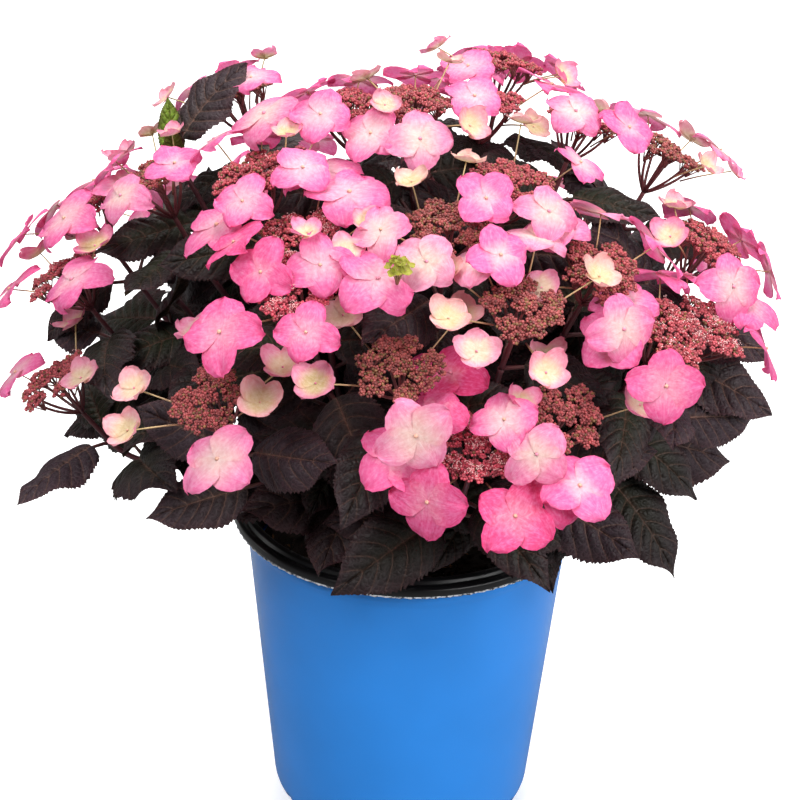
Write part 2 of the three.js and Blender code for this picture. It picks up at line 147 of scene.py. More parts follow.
def finish(name, roughness, **sockets):
    """A material's node tree, with its Principled shader's own sockets set to plain values."""
    material = bpy.data.materials.new(name)
    material.use_nodes = True
    nodes = material.node_tree.nodes
    shader = nodes["Principled BSDF"]
    shader.inputs["Roughness"].default_value = roughness
    for socket, value in sockets.items():
        shader.inputs[socket.replace("_", " ")].default_value = value
    return material, nodes, shader


def node(nodes, kind, **settings):
    """A shader node with its settings. A setting whose name is a socket's sets that socket's value."""
    made = nodes.new("ShaderNode" + kind)
    for key, value in settings.items():
        name = key.replace("_", " ")
        if name in made.inputs:
            made.inputs[name].default_value = value
        else:
            setattr(made, key, value)
    return made


def chain(*steps):
    """Joins nodes in a row: a node, its output, the next one's input, the next node, and so on."""
    for source, out, into, target in zip(steps[0::3], steps[1::3], steps[2::3], steps[3::3]):
        source.id_data.links.new(source.outputs[out], target.inputs[into])


def grain_group():
    """A shader node group, grain: noise at the object's own coordinates, put out as a mask and as the
    normal of a relief, with its scale, detail, strength and depth as inputs."""
    group = bpy.data.node_groups.new("grain", "ShaderNodeTree")
    for name in ("Scale", "Detail", "Strength", "Distance"):
        group.interface.new_socket(name, in_out="INPUT", socket_type="NodeSocketFloat")
    group.interface.new_socket("Grain", in_out="OUTPUT", socket_type="NodeSocketFloat")
    group.interface.new_socket("Normal", in_out="OUTPUT", socket_type="NodeSocketVector")
    given, out = group.nodes.new("NodeGroupInput"), group.nodes.new("NodeGroupOutput")
    place, noise, bump = (node(group.nodes, kind) for kind in ("TexCoord", "TexNoise", "Bump"))
    chain(place, "Object", "Vector", noise, "Fac", "Height", bump, "Normal", "Normal", out)
    chain(given, "Scale", "Scale", noise, "Fac", "Grain", out)
    for name, target in (("Detail", noise), ("Strength", bump), ("Distance", bump)):
        chain(given, name, name, target)
    return group


GRAIN = grain_group()


def grain(nodes, scale, detail, strength=0.0, distance=0.0):
    """The grain group placed in a material, with values of its own."""
    values = dict(Scale=scale, Detail=detail, Strength=strength, Distance=distance)
    return node(nodes, "Group", node_tree=GRAIN, **values)


def wall_profile():
    """The pot wall's closed outline: underside, bevel, outside, edge, inside and floor. Its points are
    1.2 mm apart where the drain holes, the bead and the edge are, and 8 times that on the plain runs."""
    slope = (WALL_TOP_RADIUS - FOOT_RADIUS) / (WALL_TOP - FOOT_HEIGHT)
    outside = [
        (0.0, 0.0, 0),
        (UNDERSIDE_RADIUS, 0.0, 0.004),
        (FOOT_RADIUS, FOOT_HEIGHT, 0.006),
        (WALL_TOP_RADIUS, WALL_TOP, 0.0005),
        (WALL_TOP_RADIUS - WALL, WALL_TOP, 0.0005),
        (FOOT_RADIUS - WALL, FOOT_HEIGHT + 0.001, 0.005),
        (UNDERSIDE_RADIUS - 0.0015, 0.003, 0.003),
        (0.0, 0.003, 0),
    ]
    line = rounded(outside)
    rows = []
    for p, q in zip(line, line[1:]):
        steps = max(1, int(np.linalg.norm(q - p) / 0.0012))
        rows.append(p + (q - p) * np.linspace(0, 1, steps, endpoint=False)[:, None])
    line = np.concatenate([*rows, line[-1:]])
    plain = (line[:, 0] < 0.07) | ((line[:, 1] > 0.022) & (line[:, 1] < 0.211))
    plain[-1] = False
    line = line[~plain | (np.arange(len(line)) % 8 == 0)]
    outer = line[:, 0] > FOOT_RADIUS - WALL / 2 + (line[:, 1] - FOOT_HEIGHT) * slope
    bead = BEAD_STANDS_OUT * np.exp(-(((line[:, 1] - BEAD_HEIGHT) / 0.0022) ** 2))
    line[:, 0] += np.where(outer, bead, 0)
    return line


def pot_wall():
    """The wall turned about Z, pushed in at each drain hole by a smooth step of the distance from the
    hole's middle, measured as an oval 8 mm long down the bevel and 6 mm across it. The same step darkens
    the blue to near black in each dimple: painted shade for the open hole."""
    line = wall_profile()
    points = turned(line, 432)
    a = np.arctan2(points[..., 1], points[..., 0])
    pitch = 2 * np.pi / DRAIN_HOLES
    beside = ((a / pitch) % 1 - 0.5) * pitch * UNDERSIDE_RADIUS
    down = line[:, 1, None] - DRAIN_HOLE_AT
    oval = np.hypot(beside / 0.0035, down / 0.0042)
    outer = (line[:, 1, None] < 0.02) & (np.arange(len(line))[:, None] < len(line) // 2)
    depth = np.clip(1.35 - oval, 0, 0.35) / 0.35 * outer
    depth = depth * depth * (3 - 2 * depth)
    points[..., :2] *= 1 - depth[..., None] * DRAIN_HOLE_DEPTH / FOOT_RADIUS
    points[..., 2] += depth * DRAIN_HOLE_DEPTH * 0.5
    # Near-black blue in the middle of each dimple: painted shade standing in for the open drain hole.
    tint = np.array(BLUE) + depth[..., None] * (np.array(HOLE_SHADE_BLUE) - BLUE)
    return surface("pot_wall_blue", points, tint=tint, flip=True)


def blue_plastic():
    """Glossy blue plastic: its own colour, a little uneven, with soft waves left by the mould."""
    material, nodes, shader = finish("blue_plastic", 0.24, Specular_IOR_Level=0.22)
    tint = node(nodes, "Attribute", attribute_name="Tint")
    cloud = grain(nodes, 14.0, 2.0)
    shade = node(nodes, "MapRange", To_Min=0.9, To_Max=1.1)
    mixed = node(nodes, "VectorMath", operation="SCALE")
    waves = grain(nodes, 22.0, 1.0, 0.05, 0.004)
    chain(cloud, "Grain", "Value", shade, "Result", "Scale", mixed)
    chain(tint, "Color", 0, mixed, "Vector", "Base Color", shader)
    chain(waves, "Normal", "Normal", shader)
    return material


wall = pot_wall()
wall.data.materials.append(blue_plastic())
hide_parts("pot_wall")

# ----------------------------------------------------------------------------------------------
# Lip and liner. The black inner layer of the sheet, rolled outwards over the wall into a stepped lip
# and running down inside as a band. Where the two layers are trimmed, a ragged pale edge shows.

LIP_RADIUS = 0.119
LINER = 0.0016
LINER_FOOT = 0.194
TRIM_WIDTH = 0.0007


def lip_profile():
    """The lip's closed outline: liner up the inside, two shallow steps on top, and the outer fall."""
    liner = lambda z: FOOT_RADIUS + (WALL_TOP_RADIUS - FOOT_RADIUS) * (z - FOOT_HEIGHT) / (
        WALL_TOP - FOOT_HEIGHT
    ) - WALL - 0.0003
    corners = [
        (liner(0.21), 0.21, 0),
        (liner(WALL_TOP), WALL_TOP + 0.0003, 0.0002),
        (LIP_RADIUS - 0.0012, WALL_TOP + 0.0003, 0.0003),
        (LIP_RADIUS, WALL_TOP + 0.0018, 0.0008),
        (LIP_RADIUS - 0.0008, WALL_TOP + 0.0055, 0.0012),
        (LIP_RADIUS - 0.0034, WALL_TOP + 0.0068, 0.001),
        (LIP_RADIUS - 0.0052, WALL_TOP + 0.0066, 0.0008),
        (LIP_RADIUS - 0.0068, POT_HEIGHT - 0.0006, 0.0012),
        (LIP_RADIUS - 0.0098, POT_HEIGHT, 0.001),
        (liner(WALL_TOP) - LINER, POT_HEIGHT - 0.003, 0.0016),
        (liner(0.2215) - LINER, 0.2215, 0.0008),
        (liner(0.2195) - LINER - 0.0008, 0.2195, 0.0008),
        (liner(LINER_FOOT) - LINER, LINER_FOOT, 0.0003),
        (liner(LINER_FOOT), LINER_FOOT, 0.0003),
        (liner(0.21), 0.21, 0),
    ]
    return rounded(corners, 7)


def black_plastic():
    """Smooth black plastic with fine rings left by rolling the lip, and a soft sheen."""
    material, nodes, shader = finish("black_plastic", 0.32, Specular_IOR_Level=0.35)
    shader.inputs["Base Color"].default_value = (0.004, 0.004, 0.005, 1)
    rings = node(nodes, "TexWave", wave_type="RINGS", rings_direction="Z", Scale=180.0)
    rough = node(nodes, "MapRange", To_Min=0.24, To_Max=0.42)
    bump = node(nodes, "Bump", Strength=0.06, Distance=0.001)
    chain(node(nodes, "TexCoord"), "Object", "Vector", rings, "Color", "Height", bump)
    chain(bump, "Normal", "Normal", shader)
    chain(grain(nodes, 60.0, 4.0), "Grain", "Value", rough, "Result", "Roughness", shader)
    return material


def trimmed_edge():
    """A thin ring round the foot of the lip. Its height at angle a is its width times a sum of short
    waves of unlike length, so that it comes and goes like a torn edge."""
    a = np.linspace(0, 2 * np.pi, 1440, endpoint=False)
    ragged = 0.65 + 0.16 * np.sin(61 * a + 1) + 0.14 * np.sin(137 * a) + 0.12 * np.sin(233 * a + 2)
    low = WALL_TOP + 0.0004 - TRIM_WIDTH * np.clip(ragged, 0.2, 1)
    high = np.full_like(a, WALL_TOP + 0.0009)
    inner, outer = LIP_RADIUS - 0.0022, LIP_RADIUS - 0.0004 + 0.0003 * np.sin(97 * a)
    ring = lambda radius, z: np.stack([radius * np.cos(a), radius * np.sin(a), z], axis=-1)
    rows = [ring(inner, high), ring(inner, low), ring(outer, low), ring(outer, high)]
    return surface("trimmed_edge", np.stack(rows), closed=(True, True), weld=False, flip=True)


def two_tone(nodes, first, second, start=0.0, end=1.0):
    """A ramp node that goes from one colour to another between two shares."""
    ramp = node(nodes, "ValToRGB")
    for element, place, colour in zip(ramp.color_ramp.elements, (start, end), (first, second)):
        element.position, element.color = place, (*colour, 1)
    return ramp


def trim_white():
    """The pale cut edge of the sheet, with specks of blue and black from both layers."""
    material, nodes, shader = finish("cut_edge", 0.35)
    ramp = two_tone(nodes, (0.05, 0.06, 0.08), (0.75, 0.78, 0.82), 0.4, 0.55)
    chain(grain(nodes, 420.0, 2.0), "Grain", "Fac", ramp, "Color", "Base Color", shader)
    return material


lip = surface("rolled_lip", turned(lip_profile()), flip=True)
lip.data.materials.append(black_plastic())
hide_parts("pot_rim")
trim = trimmed_edge()
trim.data.materials.append(trim_white())

# ----------------------------------------------------------------------------------------------
# Potting mix. Moist shredded bark and peat, filled to just under the liner, rough on top, with flat
# chips of bark lying on it every way.

SOIL_TOP = 0.202
SOIL_RADIUS = 0.1008
CHIPS = 900
LUMPS = [(1.0, 0.0012), (2.3, 0.0009), (5.1, 0.0006)]


def mix_body():
    """A disc whose height is a slow fall to the edge plus three layers of short waves, with straight
    sides down to the pot's floor."""
    rings = np.linspace(0, SOIL_RADIUS, 60)
    a = np.linspace(0, 2 * np.pi, 200, endpoint=False)
    x, y = rings[:, None] * np.cos(a), rings[:, None] * np.sin(a)
    lumps = sum(
        size * np.sin(k * x * 60 + j) * np.cos(k * y * 57 - j) for j, (k, size) in enumerate(LUMPS)
    )
    height = SOIL_TOP - 0.001 - 0.0065 * (rings[:, None] / SOIL_RADIUS) ** 2 + lumps
    top = np.stack([x, y, height], axis=-1)
    sides = turned(np.array([(SOIL_RADIUS, 0.19), (0.0865, 0.0142), (0.0764, 0.0034), (0.0, 0.0034)]), 200)
    return surface("potting_mix_body", np.concatenate([top, sides]))


def bark_chips(rng):
    """Flat lens-shaped chips, each a grid of 5 by 6 points: an ellipse with a ragged outline, bent
    along its length and turned at random, lying on the mix."""
    s = np.array([0, 0.55, 1, 0.55, 0])[:, None]
    a = np.linspace(0, 2 * np.pi, 6, endpoint=False)[None, :]
    side = np.array([1, 1, 0, -1, -1])[:, None]
    length = rng.uniform(0.002, 0.0068, (CHIPS, 1, 1))
    width = length * rng.uniform(0.3, 0.6, (CHIPS, 1, 1))
    ragged = 1 + rng.uniform(-0.25, 0.25, (CHIPS, 1, 6))
    x, y = length * s * np.cos(a) * ragged, width * s * np.sin(a) * ragged
    z = 0.0008 * side * (1 - 0.6 * s) + 0 * x + 6 * x * x
    points = np.stack([x, y, z], axis=-1)
    turn, tip = rng.uniform(0, 2 * np.pi, CHIPS), rng.normal(0, 0.35, (CHIPS, 2))
    cos, sin = np.cos(turn)[:, None, None], np.sin(turn)[:, None, None]
    px, py = points[..., 0] * cos - points[..., 1] * sin, points[..., 0] * sin + points[..., 1] * cos
    pz = points[..., 2] + px * tip[:, :1, None] + py * tip[:, 1:, None]
    out = 0.099 * np.sqrt(rng.uniform(0.02, 1, CHIPS))
    bearing = rng.uniform(0, 2 * np.pi, CHIPS)
    cx, cy = (out * np.cos(bearing))[:, None, None], (out * np.sin(bearing))[:, None, None]
    cz = (SOIL_TOP - 0.0005 - 0.0065 * (out / SOIL_RADIUS) ** 2)[:, None, None]
    brown = np.array([0.03, 0.016, 0.009]) * rng.uniform(0.4, 1.6, (CHIPS, 1))
    ginger = np.array([0.2, 0.09, 0.035])
    brown = np.where(rng.uniform(0, 1, (CHIPS, 1)) < 0.14, ginger, brown)
    tint = np.broadcast_to(brown[:, None, None], points.shape)
    points = np.stack([px + cx, py + cy, pz + cz], axis=-1)
    return surface("bark_chips", points, tint=tint, flip=True)


def bark_mix(tinted):
    """Rough brown bark. Chips take their own colour, and the body below is darker and crumbly."""
    material, nodes, shader = finish("bark_chip" if tinted else "peat", 0.9)
    crumbs = grain(nodes, 500.0, 5.0, 0.6, 0.002)
    chain(crumbs, "Normal", "Normal", shader)
    if tinted:
        chain(node(nodes, "Attribute", attribute_name="Tint"), "Color", "Base Color", shader)
    else:
        ramp = two_tone(nodes, (0.006, 0.004, 0.003), (0.045, 0.024, 0.013))
        chain(crumbs, "Grain", "Fac", ramp, "Color", "Base Color", shader)
    return material


mix = mix_body()
mix.data.materials.append(bark_mix(False))
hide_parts("potting_mix")
chips = bark_chips(np.random.default_rng(5))
chips.data.materials.append(bark_mix(True))

# ----------------------------------------------------------------------------------------------
# Woody crown. The old base of the shrub, where the canes are cut back each year: a knuckle of brown
# wood with a flared foot and flaking bark, sitting on the mix.

CROWN_FOOT = SOIL_TOP + 0.0003
CROWN_PROFILE = [
    (0.036, 0.0, 0.001),
    (0.028, 0.009, 0.006),
    (0.022, 0.022, 0.006),
    (0.012, 0.0262, 0.004),
    (0.0, 0.0268, 0),
]


def woody_crown():
    """The knuckle turned about Z, its radius swelled by five lobes and fine upright ridges."""
    line = rounded([(0.0, 0.0, 0), *CROWN_PROFILE], 10)
    points = turned(line, 160)
    a = np.arctan2(points[..., 1], points[..., 0])
    z = points[..., 2]
    rough = 0.03 * np.sin(5 * a + 1) + 0.02 * np.sin(23 * a + z * 300) + 0.014 * np.sin(61 * a - z * 700)
    points[..., :2] *= (0.965 + rough * (z > 0))[..., None]
    points[..., 2] += CROWN_FOOT
    return surface("woody_crown_bark", points, flip=True)


def bark():
    """Grey-brown bark in upright flakes, worked out from the height and the place."""
    material, nodes, shader = finish("bark", 0.85)
    place = node(nodes, "TexCoord")
    long = node(nodes, "Mapping", Scale=(1.0, 1.0, 0.22))
    flakes = node(nodes, "TexNoise", Scale=320.0, Detail=6.0, Distortion=0.6)
    ramp = two_tone(nodes, (0.02, 0.01, 0.008), (0.16, 0.095, 0.06))
    bump = node(nodes, "Bump", Strength=0.7, Distance=0.0015)
    chain(place, "Object", "Vector", long, "Vector", "Vector", flakes, "Fac", "Fac", ramp)
    chain(ramp, "Color", "Base Color", shader)
    chain(flakes, "Fac", "Height", bump, "Normal", "Normal", shader)
    return material


crown = woody_crown()
crown.data.materials.append(bark())
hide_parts("woody_crown")

# ----------------------------------------------------------------------------------------------
# Canes and shoots. Smooth dark burgundy stems, woody and browner low down. Canes arch up and out
# from the crown to a fork, and from there shoots climb to the flower heads, a pair of leaves at each
# joint. They grow by a rule: every free choice is a roll of the same dice for the same keys.

MM = 0.001
CANE = {"foot": 3.9, "tip": 3.0, "fork": 0.42, "arch": 0.2, "inner": 11.0, "outer": 22.0, "above": 255.0}
SHOOT = {"foot": 2.6, "tip": 1.7, "every": 12.0, "joints": 3}
HEAD = {"lean": 0.32, "stalk": 58.0, "rays": 30.0, "radius": 27.0, "depth": 13.0, "notch": 0.87}
CROWN_WAIST = 9.0

# What each cane bears. A flower head is (bearing in degrees from +X towards +Y, distance out from the
# pot's axis and height above the mix in mm, bearings round its own axis of its open florets and of its
# half-open ones, colour from cream, 0, through pale pink to deep pink, 1, and for some the bearing of
# its shoot's last pair of leaves). A leafy tip is (bearing, distance out, height, bearing of last pair),
# and comes after the heads.
CANES = {
    "crown": [
        (266, 40, 322, [235, 275, 90], [60, 130, 315], 0.4),
        (48, 81, 320, [235, 115, 75, 25], [165, 320], 0.6),
    ],
    "crown_left": [(214, 54, 316, [255, 205, 125, 80], [310], 0.5)],
    "crown_right": [
        (3, 42, 313, [255, 110, 40], [310], 0.55, 275),
        (3, 103, 301, [120, 250, 300], [70], 0.5, 185),
    ],
    "crown_front": [
        (278, 131, 277, [205, 255, 310], [80], 0.35),
        (302, 106, 291, [25, 295, 245], [90], 0.45),
    ],
    "left_high": [
        (187, 166, 263, [130, 255, 315], [85], 0.5),
        (220, 124, 288, [265, 125, 75, 325], [], 0.6),
        (180, 152, 268, 190),
    ],
    "back_left_high": [(157, 129, 298, [300, 135, 95], [60, 200], 0.5)],
    "right_high": [(9, 161, 274, [105], [60, 295, 350], 0.35, 170)],
    "front_left": [
        (242, 141, 267, [165, 70, 240, 285], [315, 350], 0.7),
        (248, 178, 252, [220, 355, 130, 280], [], 0.8),
        (252, 92, 92, 255),
    ],
    "left": [
        (185, 224, 197, [160, 300], [120, 340], 0.75, 255),
        (175, 215, 227, [90, 130, 170, 270, 320], [], 0.55),
        (192, 152, 186, 195),
    ],
    "left_low": [(192, 233, 136, [140], [320], 0.6, 215)],
    "left_front": [
        (234, 198, 180, [275], [160, 200, 90, 10, 335], 0.4, 330),
        (228, 92, 104, 255),
    ],
    "front": [
        (281, 198, 171, [240, 195, 295, 335, 110], [], 0.95),
        (268, 185, 215, [280], [130, 50, 200], 0.3),
        (280, 84, 106, 325),
    ],
    "front_right": [
        (290, 180, 247, [85], [160, 205, 240, 285, 35], 0.3),
        (296, 196, 184, [205, 245, 285], [20], 0.5),
        (303, 100, 98, 330),
    ],
    "right_front": [
        (310, 166, 254, [290, 95, 45], [210], 0.45),
        (318, 200, 219, [210, 105, 270], [], 0.7),
        (319, 150, 108, 320),
    ],
    "right": [
        (348, 187, 236, [110, 50, 10, 285], [215], 0.55),
        (330, 203, 208, [10, 115], [], 0.75),
        (332, 172, 134, 200),
        (344, 180, 184, 5),
    ],
    "back_right": [
        (25, 205, 185, [10, 90, 290], [], 0.6),
        (52, 180, 192, [20, 95, 170], [], 0.5),
    ],
    "back": [
        (85, 195, 215, [20, 90, 170], [], 0.6),
        (95, 130, 275, [10, 90, 165], [], 0.5),
    ],
    "back_left": [
        (120, 195, 215, [60, 130, 210], [], 0.7),
        (145, 205, 195, [95, 165, 230], [], 0.5),
    ],
}
UP = np.array([0.0, 0.0, 1.0])


def dice(*keys):
    """A repeatable number from 0 to 1 for a set of whole-number keys: each key is stirred into a
    running remainder."""
    h = 1
    for key in (*keys, 1, 2):
        h = (h * 16807 + (key + 1) * 7919) % 2147483647
    return h / 2147483647


def between(low, high, *keys):
    """A roll of the dice for these keys, spread between two limits."""
    return low + (high - low) * dice(*keys)


def unit(v):
    """A vector at length 1."""
    v = np.asarray(v, dtype=float)
    return v / np.linalg.norm(v)


def across(axis):
    """Two unit vectors square to an axis, which make a right-handed set with it."""
    side = unit(np.cross(np.array([1.0, 0, 0]) if abs(axis[2]) > 0.95 else UP, axis))
    return side, np.cross(axis, side)


def square_to(axis, bearing):
    """The unit vector square to an axis that leads towards a bearing, in degrees from +X towards +Y."""
    level = np.array([math.cos(math.radians(bearing)), math.sin(math.radians(bearing)), 0])
    return unit(level - axis * np.dot(level, axis))


def place_of(row):
    """The point that a bearing, a distance out and a height above the mix tell, in mm."""
    bearing = math.radians(row[0])
    return np.array([row[1] * math.cos(bearing), row[1] * math.sin(bearing), SOIL_TOP / MM + row[2]])


def curve(p, t):
    """The points and unit directions of a Bezier curve, of 3 or 4 control points, at shares t."""
    t = np.atleast_1d(t)[:, None]
    weights = {
        3: [(1 - t) ** 2, 2 * t * (1 - t), t**2],
        4: [(1 - t) ** 3, 3 * t * (1 - t) ** 2, 3 * t**2 * (1 - t), t**3],
    }[len(p)]
    slopes = {
        3: [2 * t - 2, 2 - 4 * t, 2 * t],
        4: [-3 * (1 - t) ** 2, 3 * (1 - t) * (1 - 3 * t), 3 * t * (2 - 3 * t), 3 * t**2],
    }[len(p)]
    points = sum(w * q for w, q in zip(weights, p))
    ways = sum(w * q for w, q in zip(slopes, p))
    return points, ways / np.linalg.norm(ways, axis=1, keepdims=True)


def cane_lines():
    """Each cane's control points: evenly spaced feet on an inner or an outer ring of the crown, in
    the order of the bearings that the canes lean to, and a fork part of the way to what it bears."""
    aims = {name: np.mean([place_of(row) for row in rows], axis=0) for name, rows in CANES.items()}
    inner = {k: aim[2] > SOIL_TOP / MM + CANE["above"] for k, aim in aims.items()}
    lines = {}
    for ring in (True, False):
        names = [k for k in CANES if inner[k] == ring]
        lean = {k: math.atan2(aims[k][1], aims[k][0]) for k in names}
        names.sort(key=lean.get)
        step = 2 * math.pi / len(names)
        turn = sum(lean[k] - i * step for i, k in enumerate(names)) / len(names)
        for i, k in enumerate(names):
            r = CANE["inner"] if ring else CANE["outer"]
            b = turn + i * step
            foot = np.array([r * math.cos(b), r * math.sin(b), SOIL_TOP / MM + CROWN_WAIST])
            fork = foot + (aims[k] - foot) * CANE["fork"]
            bend = (foot + fork) / 2 + UP * np.linalg.norm(fork - foot) * CANE["arch"]
            lines[k] = np.array([foot, bend, fork])
    return lines


def head_axis(place):
    """The way that a flower head faces: up, leaning out the more the further out it stands."""
    return unit([place[0] * HEAD["lean"] / 100, place[1] * HEAD["lean"] / 100, 1])


def tubes(paths, radii, sides):
    """Round limbs, all with one number of stations. paths is (limbs, stations, 3) and radii (limbs,
    stations). At each station the ring's first direction is the last one's, made square again to
    the limb's direction, so a limb doesn't twist. Both ends close to a point."""
    ways = np.gradient(paths, axis=1)
    ways /= np.linalg.norm(ways, axis=2, keepdims=True)
    first = np.cross(ways[:, 0], np.array([0.31, 0.77, 0.55]))
    a = np.linspace(0, 2 * np.pi, sides, endpoint=False)
    rings = [np.repeat(paths[:, :1], sides, axis=1)]
    for k in range(paths.shape[1]):
        first = first - ways[:, k] * np.sum(first * ways[:, k], axis=1, keepdims=True)
        first /= np.linalg.norm(first, axis=1, keepdims=True)
        second = np.cross(ways[:, k], first)
        spokes = first[:, None] * np.cos(a)[:, None] + second[:, None] * np.sin(a)[:, None]
        rings.append(paths[:, k, None] + spokes * radii[:, k, None, None])
    rings.append(np.repeat(paths[:, -1:], sides, axis=1))
    return np.stack(rings, axis=1)


def grow_shoots():
    """Every shoot of every cane, as a dictionary of its keys, curve, tip and axis. The first shoot
    of a cane goes on from it, and the others branch from the first."""
    shoots = []
    for m, (name, rows) in enumerate(CANES.items()):
        fork, way = (v[0] for v in curve(CANE_LINES[name], 1.0))
        start, main = fork + way * 0.3, None
        for s, row in enumerate(rows):
            place, flowering = place_of(row), len(row) > 4
            axis = head_axis(place) if flowering else unit(head_axis(place) + way)
            tip = place - axis * HEAD["stalk"] if flowering else place
            root = start if main is None else start + main * s * SHOOT["every"]
            leave = way if main is None else unit(unit(tip - root) + way)
            reach = np.linalg.norm(tip - root) / 3
            line = np.array([root, root + leave * reach, tip - axis * reach, tip])
            if main is None:
                main = unit(curve(line, 1 / SHOOT["joints"])[0][0] - start)
            opened, half_open, colour, *pair = row[3:] if flowering else ([], [], None, *row[3:])
            shoot = dict(keys=(m, s), cane=name, line=line, place=place, axis=axis, opened=opened)
            shoot.update(half_open=half_open, colour=colour, foot=SHOOT["tip"] if s else SHOOT["foot"])
            shoots.append({**shoot, "pair": pair[0] if pair else between(0, 180, m, s, 8)})
    return shoots


def stem_swelling(t):
    """How a stem swells at its joints: a narrow bulge at each third of its length."""
    return 1 + 0.35 * np.exp(-(((t * SHOOT["joints"] + 0.5) % 1 - 0.5) / 0.07) ** 2)


def stem_tints(count, stations, sides, low, high, rng):
    """Stem colours for tubes: from the foot's to the tip's along each limb, each limb a little off."""
    t = np.linspace(0, 1, stations)[None, :, None, None]
    colour = np.array(low) * (1 - t) + np.array(high) * t
    colour = colour * rng.uniform(0.75, 1.25, (count, 1, 1, 1))
    colour = np.concatenate([colour[:, :1], colour, colour[:, -1:]], axis=1)
    return np.broadcast_to(colour, (count, stations + 2, sides, 3))


def stem_skin(name):
    """Smooth stem with a soft shine, fine lengthwise lines and pale breathing pores."""
    material, nodes, shader = finish(name, 0.5)
    tint = node(nodes, "Attribute", attribute_name="Tint")
    pores = node(nodes, "TexVoronoi", Scale=260.0)
    spot = node(nodes, "MapRange", From_Min=0.08, From_Max=0.2, To_Min=1.7, To_Max=1.0)
    mixed = node(nodes, "VectorMath", operation="SCALE")
    fibre = grain(nodes, 700.0, 3.0, 0.25, 0.0006)
    chain(node(nodes, "TexCoord"), "Object", "Vector", pores, "Distance", "Value", spot)
    chain(spot, "Result", "Scale", mixed, "Vector", "Base Color", shader)
    chain(tint, "Color", 0, mixed)
    chain(fibre, "Normal", "Normal", shader)
    return material


def limbs(name, paths, radii, sides, low, high):
    """Limbs as one piece in the stem's skin, coloured from the foot's colour to the tip's."""
    tint = stem_tints(*paths.shape[:2], sides, low, high, STEM_RNG)
    made = surface(name, tubes(paths, radii, sides) * MM, tint=tint)
    made.data.materials.append(BURGUNDY_SKIN)
    return made


CANE_LINES = cane_lines()
SHOOTS = grow_shoots()
HEADS = [one for one in SHOOTS if one["colour"] is not None]
STEM_RNG = np.random.default_rng(11)
BURGUNDY_SKIN = stem_skin("burgundy_stem")

t = np.linspace(0, 1, 25)
paths = np.stack([curve(line, t)[0] for line in CANE_LINES.values()])
radii = np.tile(CANE["foot"] + (CANE["tip"] - CANE["foot"]) * t, (len(paths), 1))
radii *= 1 + 0.12 * np.exp(-(((t * 4 + 0.5) % 1 - 0.5) / 0.09) ** 2)
canes = limbs("canes", paths, radii, 14, (0.11, 0.045, 0.03), (0.06, 0.014, 0.018))
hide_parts(*("cane_" + name for name in CANES))

t = np.linspace(0, 1, 31)
paths = np.stack([curve(one["line"], t)[0] for one in SHOOTS])
foots = np.array([one["foot"] + 0.1 for one in SHOOTS])
radii = (foots[:, None] + (SHOOT["tip"] - foots[:, None]) * t) * stem_swelling(t)
shoots = limbs("shoots", paths, radii, 10, (0.05, 0.011, 0.015), (0.075, 0.013, 0.02))
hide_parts(*("foliage_" + name for name in CANES))

t = np.linspace(0, 1, 9)
foots = np.stack([one["line"][3] for one in HEADS])
axes = np.stack([one["axis"] for one in HEADS])
paths = foots[:, None] + axes[:, None] * (t * (HEAD["stalk"] - HEAD["rays"] + 2))[:, None]
radii = np.tile(SHOOT["tip"] * (1 - 0.12 * t), (len(paths), 1))
stalks = limbs("flower_stalks", paths, radii, 10, (0.075, 0.013, 0.02), (0.13, 0.03, 0.035))

# ----------------------------------------------------------------------------------------------
# Room. Florets and leaves take their places one after another, and one that would cut through what
# stands already is swung aside or left out, as they push each other aside when they grow.

TRIES = 6
BERTH = 0.4
LOWEST = 255.0
STEM = "stem"
STANDING = []


def skin(rings):
    """Triangles over rings of points that may differ in count, and the points in one array. Walking
    round two neighbouring rings at the same pace, each step makes one triangle."""
    faces, start = [], 0
    for lower, upper in zip(rings, rings[1:]):
        m, n = len(lower), len(upper)
        steps, i, j = (m if m > 1 else 0, n if n > 1 else 0), 0, 0
        while i < steps[0] or j < steps[1]:
            if i < steps[0] and (j >= steps[1] or (i + 1) / m <= (j + 1) / n):
                faces.append((start + i % m, start + (i + 1) % m, start + m + j % n))
                i += 1
            else:
                faces.append((start + i % m, start + m + (j + 1) % n, start + m + j % n))
                j += 1
        start += m
    return np.concatenate(rings), faces


def stand(owner, joint, rings):
    """Keeps a coarse form as standing, with its cane, its joint, its box and a tree of its triangles."""
    points, faces = skin(rings)
    tree = BVHTree.FromPolygons(points.tolist(), faces)
    STANDING.append((owner, joint, points.min(axis=0) - BERTH, points.max(axis=0) + BERTH, tree))


def is_clear(rings, owner, joint):
    """Whether a coarse form crosses nothing that stands and hangs no lower than it may. Its first ring
    is the root in its own stem, so against its own stems and the other leaf of its pair only what
    comes after the stalk is tried."""
    whole = skin(rings)[0]
    low, high = whole.min(axis=0), whole.max(axis=0)
    if low[2] < LOWEST:
        return False
    trees = {}
    for other, other_joint, o_low, o_high, tree in STANDING:
        if (low > o_high).any() or (o_low > high).any():
            continue
        fused = other == owner and other_joint in (STEM, joint)
        if fused not in trees:
            points, faces = skin(rings[1:] if fused else rings)
            trees[fused] = points.tolist(), BVHTree.FromPolygons(points.tolist(), faces)
        points, own = trees[fused]
        if own.overlap(tree) or any(tree.find_nearest(p, BERTH)[0] for p in points):
            return False
    return True


def ring(middle, axis, e1, radius, sides, turn=0.0):
    """Points round a middle, square to an axis, starting on the side that e1 points to."""
    first = unit(e1 - axis * np.dot(e1, axis))
    a = turn + np.arange(sides) / sides * 2 * np.pi
    return middle + radius * (np.cos(a)[:, None] * first + np.sin(a)[:, None] * np.cross(axis, first))


def limb_rings(points, ways, radii, sides):
    """Rings along a limb for the tests of room."""
    e1 = across(ways[0])[0]
    rings = []
    for p, way, radius in zip(points, ways, radii):
        e1 = unit(e1 - way * np.dot(e1, way))
        rings.append(ring(p, way, e1, radius, sides))
    return rings


